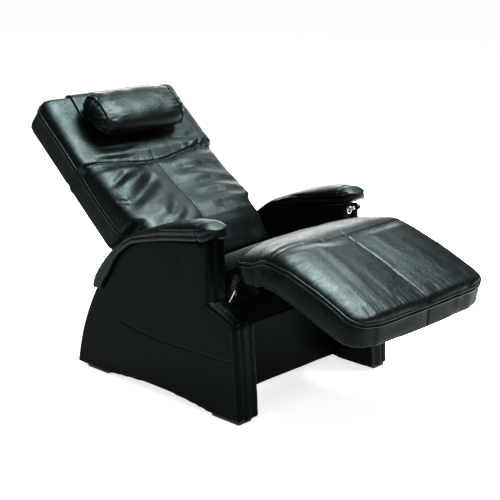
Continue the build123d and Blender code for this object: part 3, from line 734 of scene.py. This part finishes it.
# Folds of the leather on the back's front: line of (x, s), depth and width
BACK_FOLDS = [
    ([(-43, 394), (-120, 348), (-200, 304), (-252, 272)], 7.0, 20.0),
    ([(-67, 432), (-130, 396), (-200, 372), (-262, 352)], -3.5, 18.0),
    ([(-141, 432), (-190, 402), (-246, 374)], 2.6, 11.0),
    ([(-262, 325), (-225, 300)], 2.6, 9.0),
    ([(-42, 331), (-99, 287), (-159, 227)], -3.0, 20.0),
    ([(-55, 262), (-125, 208), (-200, 190)], 2.8, 15.0),
    ([(-24, 232), (-87, 190), (-170, 150)], 2.2, 15.0),
    ([(20, 384), (82, 394), (164, 385), (245, 362)], 3.6, 17.0),
    ([(49, 322), (147, 320), (233, 296), (262, 270)], 2.6, 15.0),
    ([(28, 262), (139, 266), (221, 250), (261, 232)], 2.4, 15.0),
    ([(65, 212), (165, 206), (240, 182)], 2.2, 14.0),
    ([(236, 196), (252, 150), (250, 110)], 3.5, 9.0),
    ([(168, 462), (236, 500)], 3.5, 7.0),
    ([(218, 470), (262, 500)], 3.0, 6.0),
    ([(-216, 540), (-99, 528), (-20, 532)], 3.0, 12.0),
    ([(-234, 498), (-133, 484), (-74, 480)], 2.6, 9.0),
    ([(90, 540), (190, 520), (250, 532)], 2.4, 12.0),
]


def mark_painted_shade_band(ob, places, pipe):
    """Puts the band leather on the faces below the piping line, as painted shade on the cover's
    sides.
    """
    painted_shade_faces(ob, places[:, 2] < np.interp(places[:, 1], *pipe) - 2)


back_cover = make_back()
finish_piece(back_cover, LEATHER, "padded_leather", "lumbar_cushion", "upper_back_cushion",
             "lower_back_shell", "upper_back_panel")
# Painted shade: the back's sides below the piping get the darker, less glossy band leather
mark_painted_shade_band(back_cover, BACK.own(face_centres(back_cover)), BACK_PIPE)


def welt_lines(start, end):
    """Lines for the double piping up each side of the back."""
    lines = []
    for side in (1, -1):
        for drop in (0.0, WELT_DROP):
            line = [(side * back_half(s), s, np.interp(s, *BACK_PIPE) - drop)
                    for s in np.linspace(start, end, 60)]
            lines.append(BACK.out(even(np.array(line), 7)))
    return lines


back_tree = tree_of(back_cover)
half = [(back_half(s), s) for s in np.linspace(489, TOP_S - TOP_CORNER, 30)]
half += top_corner(np.linspace(0, math.pi / 2, 10))
half = np.array([(x, s, np.interp(s, *BACK_PIPE)) for x, s in half])
whole = np.vstack([half, (half * [-1, 1, 1])[::-1]])
welts = [BACK.out(even(whole - [0, 0, drop], 7)) for drop in (0.0, WELT_DROP)]
welts += welt_lines(100, 478)
back_welt = tubes("back_welt", [onto(back_tree, w, 0.6) for w in welts], WELT_RADIUS)
finish_piece(back_welt, PIPING, "black_leather")

seam_rows = []
for sign in (-1, 1):
    row = [(x, back_seam_at(x) + sign * 7, 120) for x in np.linspace(-262, 262, 90)]
    seam_rows.append(onto(back_tree, BACK.out(row), 0.4, -BACK.above))
    row = [(sign * 6.5, s, 150) for s in np.linspace(120, 446, 60)]
    seam_rows.append(onto(back_tree, BACK.out(row), 0.4, -BACK.above))
back_stitch = stitches("back_stitching", seam_rows)

CREASE = BACK.out([(0, 96, 40)])[0]
UP_BACK = BACK.out([(0, 250, 40)])[0]
for ob in (back_cover, back_welt, back_stitch):
    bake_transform(ob)


# ---------- seat and leg rest

# Where the leg rest begins past the bend, and along the seat and the leg rest the piping line,
# the crown and the underside: places q and heights h
Q_LEG = KNEE_ARC
KNEE_PIPE = ([-480, -170, -100, -60, -10, 20, Q_LEG + 40, Q_LEG + 72, Q_LEG + 110, Q_LEG + 185,
              Q_LEG + 261, Q_LEG + 291, Q_LEG + 350],
             [66, 66, 80, 85, 74, 76, 100, 107, 110, 115, 114, 112, 112])
KNEE_CROWN = ([-478, -440, -362, -221, -72, 0, Q_LEG * 0.5, Q_LEG, Q_LEG + 151, Q_LEG + 230,
               Q_LEG + 288, Q_LEG + 335, Q_LEG + 350],
              [92, 100, 102, 116, 125, 123, 121, 124, 132, 131, 129, 125, 120])
KNEE_LOW = ([-480, -300, -100, -60, 0, Q_LEG + 20, Q_LEG + 48, Q_LEG + 110, Q_LEG + 300,
             Q_LEG + 350],
            [35, 28, 24, 20, 4, 10, 18, 23, 31, 43])


def knee_half(q):
    """Half-width of the cover, which flares to the leg rest's width at the knee."""
    return SEAT_HALF + (LEG_HALF - SEAT_HALF) * smooth((q + 112) / 60.0)


def knee_seam_at(x):
    """The cross seam over the knee lies further back towards the sides."""
    return 100.0 - 22.0 * smooth((-x - 50) / 170.0) - 6.0 * smooth((x - 150) / 120.0)


def leg_front(x):
    """The slightly bowed front edge of the leg rest."""
    return Q_LEG + LEG_LENGTH - 9 + 7 * (1 - (np.abs(x) / LEG_HALF) ** 2)


def knee_outline():
    far = Q_LEG + LEG_LENGTH - 66
    side = [(knee_half(q), q) for q in np.linspace(-SEAT_LENGTH, far, 130)]
    corner = [(LEG_HALF - 66 + 66 * math.cos(a), far + 54 * math.sin(a))
              for a in np.linspace(0.1, math.pi / 2 - 0.1, 9)]
    front = [(x, leg_front(x)) for x in np.linspace(215, 0, 12)]
    half = side + corner + front
    return half + [(-x, q) for x, q in half[::-1][1:]]


def make_seat_leg():
    low, high = 30, 84
    ob = slab("seat_and_leg_cover", knee_outline(), low, high)
    remeshed(ob, CUSHION_VOXEL, 4)
    x, q, h = (points(ob) / MM).T
    share = np.clip((h - low) / (high - low), 0, 1)
    across = np.clip(np.abs(x) / (knee_half(q) - 3), 0, 1)
    end = np.clip((q - (Q_LEG + LEG_LENGTH - 30)) / 26, 0, 1)
    past_knee = smooth((q - 20) / 90)
    dome = (1 - across ** (4.0 + 6.0 * past_knee)) ** (0.8 - 0.2 * past_knee)
    dome = dome * (1 - end ** 4) ** 0.6
    pipe = np.interp(q, *KNEE_PIPE)
    under = np.interp(q, *KNEE_LOW)
    panels = 7 * np.sin(math.pi * across) * smooth((q - knee_seam_at(x)) / 40)
    top = pipe + (np.interp(q, *KNEE_CROWN) + panels - pipe) * dome
    h = under + (top - under) * share
    leg = smooth((q - Q_LEG + 30) / 60)
    q = q + (0.9 - share) * 20 * smooth((q - Q_LEG - 270) / 70)
    x = x + np.sign(x) * 9 * np.sin(math.pi * share ** 0.8) * smooth((across - 0.8) / 0.18) * leg
    set_points(ob, knee_out(np.stack([x, q, h], 1)))
    fix_normals(ob)
    seam = np.abs(q - knee_seam_at(x))
    centre = np.where(q > knee_seam_at(x), np.abs(x), 60)
    free = smooth((0.985 - across) / 0.05) * smooth((share - 0.72) / 0.2)
    free *= smooth((seam - 5) / 10) * smooth((centre - 5) / 10) * smooth((1 - end) / 0.2)
    swell(ob, 1 - free, pressure=3.0, slack=0.010, cap=8)
    subdivided(ob)
    p = knee_own(points(ob))
    n = normals(ob)
    x, q, h = p.T
    up = knee_out(p + [0, 0, 1]) - knee_out(p)
    up /= np.linalg.norm(up, axis=1, keepdims=True)
    rise = np.einsum("ij,ij->i", n, up)
    top = smooth((rise - 0.25) / 0.4)
    band = smooth((0.5 - np.abs(rise)) / 0.3)
    seam = np.abs(q - knee_seam_at(x))
    past = smooth((q - knee_seam_at(x)) / 6)
    d = groove(3.0, 2.6, seam) * top
    d += gathers(1.2, 22.0, 24.0, seam, x + 700 * past, 2.3) * top
    centre = np.abs(x)
    nose = smooth((q - Q_LEG - 300) / 20)
    stub = smooth((q - 66) / 14) * (1 - past)
    d += groove(2.8, 2.6, centre) * np.maximum(past, stub) * np.maximum(top, band * nose)
    d += gathers(1.8, 16.0, 26.0, centre, q, 5.1) * past * top
    # pleats that fan back from the front piping, and gathers along the side piping
    rim = np.maximum(Q_LEG + LEG_LENGTH - 9 - q, 0)
    spread = x * (1 + rim / 1400)
    d += gathers(1.9, 60.0, 17.0, rim, spread, 3.3) * top * past
    d += 0.8 * value_noise(spread / 34, q / 210 + 3) * top * past
    edge = np.maximum(knee_half(q) - np.abs(x), 0)
    d += gathers(2.2, 22.0, 20.0, edge, q + 300 * (x > 0), 6.1) * top * past
    d += 1.2 * value_noise(x / 70, q / 80 + 9) * top
    # the side band puckers under the piping and has an upright seam near the knee
    below = np.maximum(np.interp(q, *KNEE_PIPE) - h, 0)
    d += gathers(2.4, 30.0, 26.0, below, q * (1 - nose) + x * nose, 8.3) * band
    d += 1.2 * value_noise(q / 45, h / 22, x / 150) * band
    d += groove(3.0, 3.5, np.abs(q - Q_LEG - 54)) * band * (1 - nose)
    d += gathers(2.0, 14.0, 13.0, np.abs(q - Q_LEG - 54), h, 9.9) * band * (1 - nose)
    raised(ob, n, d)
    return ob


seat_leg = make_seat_leg()
finish_piece(seat_leg, LEATHER, "padded_leather", "seat_cushion", "leg_cushion")
# Painted shade: the sides of the seat and leg rest below the piping get the darker, less glossy
# band leather
mark_painted_shade_band(seat_leg, knee_own(face_centres(seat_leg)), KNEE_PIPE)
leg_tree = tree_of(seat_leg)


def leg_edge(drop):
    """Line round the upper edge of the leg rest: from the knee, round the front and back."""
    half = [(x, q) for x, q in knee_outline()[:len(knee_outline()) // 2 + 1] if q > -84]
    whole = half + [(-x, q) for x, q in half[::-1] if x > 0]
    line = [(x, q, np.interp(q, *KNEE_PIPE) - drop) for x, q in whole]
    return even(np.array(line), 7)


welts = [onto(leg_tree, knee_out(leg_edge(drop)), 0.6) for drop in (0.0, LEG_WELT_DROP)]
leg_welt = tubes("leg_rest_welt", welts, WELT_RADIUS)
finish_piece(leg_welt, PIPING, "black_leather")
rows = []
knee_down, leg_down = [knee_out([(0, q, 0)])[0] - knee_out([(0, q, 100)])[0]
                       for q in (95, Q_LEG + 100)]
for sign in (-1, 1):
    row = [(x, knee_seam_at(x) + sign * 6.5, 190) for x in np.linspace(-272, 272, 90)]
    rows.append(onto(leg_tree, knee_out(row), 0.4, knee_down))
    row = [(sign * 6.5, q, 190) for q in np.linspace(112, Q_LEG + 322, 70)]
    rows.append(onto(leg_tree, knee_out(row), 0.4, leg_down))
leg_stitch = stitches("leg_rest_stitching", rows)
for ob in (seat_leg, leg_welt, leg_stitch):
    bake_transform(ob)


# ---------- pillow and strap

# Head pillow: its middle and half-sizes on the back's axes, and where its end welts lie
PILLOW_S = 632.0
PILLOW_H = 144.0
PILLOW_HALF = 194.0
PILLOW_WIDE = 84.0
PILLOW_TALL = 47.0
PILLOW_SEAM = 166.0


def make_pillow():
    rings, around = 46, 40
    verts, faces = [], []
    for i in range(rings):
        x = PILLOW_HALF * math.sin((i / (rings - 1) * 2 - 1) * math.pi / 2)
        size = (1 - (abs(x) / PILLOW_HALF) ** 7) ** 0.5 * 0.95 + 0.05
        for j in range(around):
            a = 2 * math.pi * j / around
            u, v = math.cos(a), math.sin(a)
            wide = PILLOW_WIDE * np.sign(u) * abs(u) ** 0.88
            tall = PILLOW_TALL * np.sign(v) * abs(v) ** 0.8
            if v < 0:
                tall *= 0.95
            verts.append((x, PILLOW_S + wide * size, PILLOW_H + tall * size))
    for i in range(rings - 1):
        for j in range(around):
            a, b = i * around + j, i * around + (j + 1) % around
            faces.append((a, b, b + around, a + around))
    faces.append(tuple(range(around)))
    faces.append(tuple(range((rings - 1) * around, rings * around)))
    ob = add_mesh("head_pillow_cover", np.array(verts) * MM, faces)
    fix_normals(ob)
    remeshed(ob, PILLOW_VOXEL, 2)
    set_points(ob, BACK.out(points(ob) / MM))
    x, s, h = BACK.own(points(ob)).T
    free = smooth((ring_distance(x) - 3) / 9) * smooth((h - 108) / 14)
    swell(ob, 1 - free, pressure=3.0, slack=0.016, cap=8)
    subdivided(ob)
    x, s, h = BACK.own(points(ob)).T
    n = normals(ob)
    clear = smooth((h - 100) / 8)
    turn = np.arctan2(h - PILLOW_H, (s - PILLOW_S) * 0.6)
    d = groove(3.5, 4.0, ring_distance(x)) * clear
    inner = np.maximum(PILLOW_SEAM - np.abs(x), 0)
    d += gathers(4.6, 34.0, 12.0, inner, turn * 55 + 500 * (x > 0), 2.9) * clear
    outer = np.maximum(np.abs(x) - PILLOW_SEAM, 0)
    d += gathers(2.0, 14.0, 12.0, outer, turn * 55, 5.9) * (outer > 0) * clear
    d += 1.2 * value_noise(x / 45, turn * 1.6)
    raised(ob, n, d)
    # the underside stays clear of the strap that it slides on
    p = BACK.own(points(ob))
    p[:, 2] = np.maximum(p[:, 2], 102.2 + 9.5 * smooth((p[:, 1] - 655) / 30))
    set_points(ob, BACK.out(p))
    return ob


def ring_distance(x):
    """Distance in x from the pillow's nearer end welt."""
    return np.abs(np.abs(x) - PILLOW_SEAM)


pillow = make_pillow()
finish_piece(pillow, LEATHER, "padded_leather", "head_pillow")
# Painted shade: the pillow's ends past the end welts get the darker, less glossy band leather
painted_shade_faces(pillow, np.abs(face_centres(pillow)[:, 0]) > (PILLOW_SEAM + 2) * MM)
pillow_tree = tree_of(pillow)
hoops = []
for end in (-PILLOW_SEAM, PILLOW_SEAM):
    hoop = [(end, PILLOW_S + PILLOW_WIDE * math.cos(a), 142 + 54 * math.sin(a))
            for a in np.linspace(-0.35, math.pi + 0.35, 40)]
    hoops.append(onto(pillow_tree, BACK.out(hoop), 0.7))
pillow_welt = tubes("pillow_end_welt", hoops, 2.4)
finish_piece(pillow_welt, PIPING, "black_leather")
for ob in (pillow, pillow_welt):
    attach(ob, "pillow")


# Strap: half-width, and its path as (s, h) under the pillow, over the top and down behind
STRAP_HALF = 178.0
STRAP_PATH = [(602, 98.6), (640, 98.6), (690, 99.2), (724, 103.4), (748, 105.6), (762, 101),
              (768, 88), (768.6, 70), (768.6, 40), (768.6, 10), (768, 0), (763, -7.4),
              (740, -8.2), (680, -8.2), (600, -8.2), (561, -8.2)]


def make_strap():
    """Leather band from under the pillow over the top of the back and down behind it."""
    centre = curve_through(STRAP_PATH, 7)
    t = np.gradient(centre, axis=0)
    t /= np.linalg.norm(t, axis=1, keepdims=True)
    out = np.stack([-t[:, 1], t[:, 0]], 1)
    cols = np.linspace(-STRAP_HALF, STRAP_HALF, 58)
    verts, faces = [], []
    for level in (0.3, 2.2):
        for (s, h), o in zip(centre, out):
            for x in cols:
                lift = level + 0.36 * float(value_noise(x / 40, s / 50))
                verts.append((x, s + o[0] * lift, h + o[1] * lift))
    rows, wide = len(centre), len(cols)
    top = rows * wide
    for i in range(rows - 1):
        for a in range(i * wide, (i + 1) * wide - 1):
            faces.append((a, a + 1, a + wide + 1, a + wide))
            faces.append((top + a, top + a + wide, top + a + wide + 1, top + a + 1))
        for a in (i * wide, (i + 1) * wide - 1):
            faces.append((a, a + wide, top + a + wide, top + a))
    for start in (0, top - wide):
        for a in range(start, start + wide - 1):
            faces.append((a, a + 1, top + a + 1, top + a))
    ob = add_mesh("pillow_strap_leather", BACK.out(verts), faces)
    fix_normals(ob)
    return ob, reach(centre)[-1]


strap, strap_length = make_strap()
finish_piece(strap, LEATHER, "black_leather", "pillow_strap")
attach(strap, "back")


# ---------- arm pads

# Arm pad seen from the side: matching points on its top and on its underside, rear to front
PAD_TOP = [(642, 288), (626, 332), (595, 374), (551, 418), (498, 459), (445, 494), (312, 546),
           (210, 574), (158, 581), (128, 580), (99, 573)]
PAD_LOW = [(594, 288), (578, 318), (548, 356), (514, 406), (468, 446), (424, 470), (304, 500),
           (210, 517), (158, 525), (124, 532), (99, 545)]
PAD_STITCH = [(560, 392), (522, 436), (483, 470), (436, 494), (390, 512), (301, 532), (216, 547),
              (162, 557), (126, 565)]
# Its middle, half-width and thickness before shaping, and the length of its round nose
PAD_MIDDLE = 311.5
PAD_HALF = 50.0
PAD_HIGH = 54.0
PAD_NOSE = 50.0


def make_arm(side_name, side):
    top, low = curve_through(PAD_TOP, 2), curve_through(PAD_LOW, 2)
    marks = knot_marks(PAD_TOP, top)
    low_knot = np.interp(reach(low), knot_marks(PAD_LOW, low), range(len(PAD_LOW)))
    length = marks[-1]
    far = np.linspace(0, length, len(top))
    outline = [(-PAD_HALF, 6), (6 - PAD_HALF, 0), (PAD_HALF - 6, 0), (PAD_HALF, 6),
               (PAD_HALF, length - PAD_NOSE)]
    outline += [(PAD_HALF * math.cos(a), length - PAD_NOSE + PAD_NOSE * math.sin(a))
                for a in np.linspace(0.1, math.pi - 0.1, 20)]
    outline.append((-PAD_HALF, length - PAD_NOSE))
    ob = slab(f"{side_name}_arm_pad_cover", outline, 0, PAD_HIGH)
    remeshed(ob, PANEL_VOXEL, 6)
    off, along, h = (points(ob) / MM).T
    share = np.clip(h / PAD_HIGH, 0, 1)
    knot = np.interp(along, marks, range(len(marks)))
    upper = np.stack([np.interp(along, far, top[:, i]) for i in (0, 1)], 1)
    lower = np.stack([np.interp(knot, low_knot, low[:, i]) for i in (0, 1)], 1)
    across = np.clip(np.abs(off) / PAD_HALF, 0, 1)
    tip = np.clip((along - (length - 60)) / 60, 0, 1)
    rear = np.clip((24 - along) / 24, 0, 1)
    crown = 1 - 0.32 * across ** 2.6 - 0.34 * tip ** 2.4 - 0.1 * rear ** 2
    base = 0.12 * tip ** 3
    level = base + (crown - base) * share
    yz = lower + (upper - lower) * level[:, None]
    x = side * PAD_MIDDLE + off * (1 - 0.10 * (1 - share) ** 2)
    set_points(ob, chair(np.column_stack([x, yz])))
    fix_normals(ob)
    seam = np.abs(along - (length - 82))
    free = smooth((share - 0.35) / 0.2) * smooth((seam - 4) / 10)
    swell(ob, 1 - free, pressure=2.5, slack=0.012, cap=5)
    subdivided(ob)
    x, y, z = drawn(ob)
    n = normals(ob)
    yz = np.stack([y, z], 1)
    outward = smooth((np.abs(n[:, 0]) - 0.25) / 0.4)
    band, far = line_distance(yz, PAD_STITCH)
    d = groove(2.6, 3.4, band) * outward
    d += gathers(1.5, 14.0, 17.0, band, far, 1.9) * outward
    # a soft roll along the lower edge of each side
    edge, far = line_distance(yz, PAD_LOW)
    d += (groove(2.6, 4.0, np.abs(edge - 17)) + 1.8 * smooth((15 - edge) / 8)) * outward
    front = np.abs(y - 152 - 0.10 * (z - 540))
    d += groove(3.0, 3.6, front) + 1.6 * smooth((148 - y) / 12)
    d += gathers(2.0, 14.0, 14.0, front, z + x, 2.4)
    d += 0.9 * value_noise(x / 30, y / 45, z / 45)
    raised(ob, n, d)
    return ob


def knot_marks(knots, line):
    """How far along a fine line through knots each knot is."""
    far = reach(line)
    return [far[np.argmin(np.linalg.norm(line - np.array(k), axis=1))] for k in knots]


def pad_rows(tree, side, outer):
    """Two rows of stitches along the outer (1) or inner (-1) side of a pad."""
    lines = []
    face = side * outer
    for drop in (-4.0, 4.0):
        yz = curve_through(PAD_STITCH, 8) + [0, drop]
        line = chair(np.column_stack([np.full(len(yz), side * PAD_MIDDLE + face * 90), yz]))
        lines.append(onto(tree, line, 0.35, (-face, 0, 0)))
    return lines


for side_name, side in (("left", 1), ("right", -1)):
    arm = make_arm(side_name, side)
    finish_piece(arm, LEATHER, "padded_leather", f"{side_name}_arm_pad")
    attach(arm, "base")
    tree = tree_of(arm)
    rows = pad_rows(tree, side, 1) + pad_rows(tree, side, -1)
    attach(stitches(f"{side_name}_arm_pad_stitching", rows), "base")


# ---------- side panels

# Side panel seen from the side: its cross seam and its front edge, as (y, z), and its x limits
SIDE_SEAM = [(563, 215), (500, 199), (446, 189), (332, 180), (222, 182), (117, 184), (76, 184),
             (24, 191)]
PANEL_FRONT = [(130, 520), (126, 340), (22, 304), (11, 175), (0, 10)]
PANEL_OUTER = 345.0
PANEL_INNER = 261.0


def softened(ob, weight, rounds):
    """Extra smoothing where weight is high, which rounds the edges of a panel."""
    grouped(ob, "soft", weight, (0.25, 0.5, 0.75, 1.0), 0.13, 0.13)
    mod = ob.modifiers.new("soften", "SMOOTH")
    mod.iterations = rounds
    mod.factor = 0.6
    mod.vertex_group = "soft"
    applied(ob)
    ob.vertex_groups.clear()


def make_side(side_name, side):
    ob = copy_of(f"{side_name}_side_cover", f"{side_name}_side_leather")
    remeshed(ob, PANEL_VOXEL, 3)
    x, y, z = drawn(ob)
    x = x * side
    front, _ = line_distance(np.stack([y, z], 1), PANEL_FRONT)
    outer = smooth((36 - (PANEL_OUTER - x)) / 16) * smooth((36 - front) / 16)
    inner = smooth((26 - (x - PANEL_INNER)) / 14) * smooth((26 - front) / 14)
    softened(ob, np.maximum(outer, 0.5 * inner), 34)
    x, y, z = drawn(ob)
    x = x * side
    n = normals(ob)
    yz = np.stack([y, z], 1)
    outside = smooth((n[:, 0] * side - 0.3) / 0.4) * (x > 325)
    gap, far = line_distance(yz, SIDE_SEAM)
    fade = smooth(far / 90)
    d = groove(2.6, 3.6, gap) * outside * fade
    d += gathers(0.7, 18.0, 40.0, gap, far, 3.3) * outside * fade
    # upright rolls on the front of the post and of the foot, and the padded shoulder between
    front, far = line_distance(yz, PANEL_FRONT)
    facing = smooth((-n[:, 1] - 0.1) / 0.4) * smooth((14 - front) / 4)
    post = facing * smooth((z - 344) / 10) * smooth((530 - z) / 10)
    d += groove(8.0, 5.0, np.abs(x - 307)) * post
    d += 2.0 * smooth((x - 316) / 8) * post
    foot = facing * smooth((300 - z) / 14)
    d += 4.0 * foot
    d += groove(2.6, 13.0, np.abs(x - 285)) * foot
    d += groove(1.8, 4.0, np.abs(x - 318)) * foot
    shoulder = smooth((n[:, 2] - 0.15) / 0.4) * smooth((z - 294) / 8) * smooth((350 - z) / 6)
    shoulder *= smooth((150 - y) / 8) * smooth((14 - front) / 4)
    d += 5.0 * smooth((x - 312) / 10) * shoulder
    d += groove(4.0, 4.0, np.abs(x - 312)) * shoulder
    d += groove(2.6, 3.0, np.abs(x - 274)) * shoulder
    d += gathers(1.2, 16.0, 16.0, np.abs(x - 312), far, 6.6) * shoulder
    d += 0.6 * value_noise(x / 60, y / 80, z / 80) * (np.abs(x - 303) > 36)
    raised(ob, n, d)
    return ob


for side_name, side in (("left", 1), ("right", -1)):
    panel = make_side(side_name, side)
    finish_piece(panel, SHADED_PANEL_LEATHER, "black_leather", f"{side_name}_side_cover")
    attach(panel, "base")
    tree = tree_of(panel)
    rows = []
    for drop in (-6, 6):
        line = curve_through([(y, z + drop) for y, z in SIDE_SEAM], 7)
        flat = np.stack([np.full(len(line), side * 420.0), line[:, 0], line[:, 1]], 1)
        rows.append(onto(tree, chair(flat), 0.3, (-side, 0, 0)))
    for x in (322.0, 330.0):
        line = chair([(side * x, y, 420.0) for y in np.linspace(120, 30, 20)])
        rows.append(onto(tree, line, 0.3, (0, 0, -1)))
    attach(stitches(f"{side_name}_side_stitching", rows), "base")


# ---------- cross panels and flaps

def soft_copy(node_name, name, voxel=PANEL_VOXEL, rounds=3, puff=1.2, body="base"):
    """A thin leather-covered piece: its CAD shape with soft edges and slight unevenness."""
    ob = copy_of(node_name, name)
    remeshed(ob, voxel, rounds)
    x, y, z = (points(ob) / MM).T
    n = normals(ob)
    d = puff * (value_noise(x / 60, y / 60, z / 60) - 0.5)
    raised(ob, n, d)
    finish_piece(ob, SHADED_PANEL_LEATHER, "black_leather", node_name)
    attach(ob, body)


soft_copy("front_cross_panel", "front_cross_panel_leather")
soft_copy("rear_cross_panel", "rear_cross_panel_leather")
for side_name in ("left", "right"):
    soft_copy(f"{side_name}_side_flap", f"{side_name}_side_flap_leather", 1.2, 1, 0.3, "seat")
soft_copy("pillow_counterweight", "counterweight_leather", 3.0, 3, 0.8, "counterweight")


# ---------- studio

FLOOR_HALF = 14.0
FLOOR_GREY = 0.86
FLOOR_GLOW = 0.78
SKY_STRENGTH = 0.24
CHAIR_MIDDLE = (0, 0, 0.45)
NEAR_SIDE = (-0.3, -0.2, 0.4)

# Each light's place, size, power in watts and the point it faces
LIGHTS = {
    "key": ((1.05, -0.35, 3.2), (1.4, 1.4), 255, CHAIR_MIDDLE),
    "rim": ((2.1, 2.1, 1.6), (2.2, 1.4), 68, CHAIR_MIDDLE),
    "top": ((-0.3, -0.3, 3.6), (1.4, 1.4), 60, CHAIR_MIDDLE),
    "left": ((-3.2, -0.7, 0.9), (0.9, 1.5), 14, NEAR_SIDE),
    "fill": ((-1.2, -3.2, 1.9), (1.6, 1.2), 24, CHAIR_MIDDLE),
}

# Camera solved from the straight edges of the side panels in the photograph
CAMERA_PLACE = (-2.64681, -2.57248, 1.45210)
CAMERA_HEADING = math.radians(43.87172)
CAMERA_DOWN = math.radians(15.94665)
CAMERA_LENS = 87.717
CAMERA_SENSOR = 36.0


def area_light(name, place, size, power, target):
    data = bpy.data.lights.new(name, "AREA")
    data.shape = "RECTANGLE"
    data.size, data.size_y = size
    data.energy = power
    ob = bpy.data.objects.new(name, data)
    SCENE.collection.objects.link(ob)
    ob.visible_camera = False
    ob.location = place
    ob.rotation_euler = (Vector(target) - Vector(place)).to_track_quat("-Z", "Y").to_euler()


corners = FLOOR_HALF * np.array([(-1, -1, 0), (1, -1, 0), (1, 1, 0), (-1, 1, 0)])
floor = add_mesh("floor", corners, [(0, 1, 2, 3)])
floor_material, _, floor_bsdf = new_material("pale_floor")
floor_bsdf.inputs["Base Color"].default_value = (FLOOR_GREY, FLOOR_GREY, FLOOR_GREY, 1)
floor_bsdf.inputs["Roughness"].default_value = 0.9
floor_bsdf.inputs["Specular IOR Level"].default_value = 0.1
floor_bsdf.inputs["Emission Color"].default_value = (1.0, 1.0, 1.0, 1)
floor_bsdf.inputs["Emission Strength"].default_value = FLOOR_GLOW
floor.data.materials.append(floor_material)

SCENE.world = bpy.data.worlds.new("studio")
SCENE.world.use_nodes = True
sky = SCENE.world.node_tree.nodes["Background"]
sky.inputs["Color"].default_value = (0.96, 0.98, 1.0, 1)
sky.inputs["Strength"].default_value = SKY_STRENGTH
SCENE.view_settings.view_transform = "Standard"
SCENE.view_settings.gamma = 0.8

for name, numbers in LIGHTS.items():
    area_light(name, *numbers)

camera_data = bpy.data.cameras.new("camera")
camera_data.lens = CAMERA_LENS
camera_data.sensor_width = CAMERA_SENSOR
camera = bpy.data.objects.new("camera", camera_data)
SCENE.collection.objects.link(camera)
level = math.cos(CAMERA_DOWN)
direction = Vector((math.cos(CAMERA_HEADING) * level, math.sin(CAMERA_HEADING) * level,
                    -math.sin(CAMERA_DOWN)))
camera.location = CAMERA_PLACE
camera.rotation_euler = direction.to_track_quat("-Z", "Y").to_euler()
SCENE.camera = camera

bpy.context.view_layer.update()
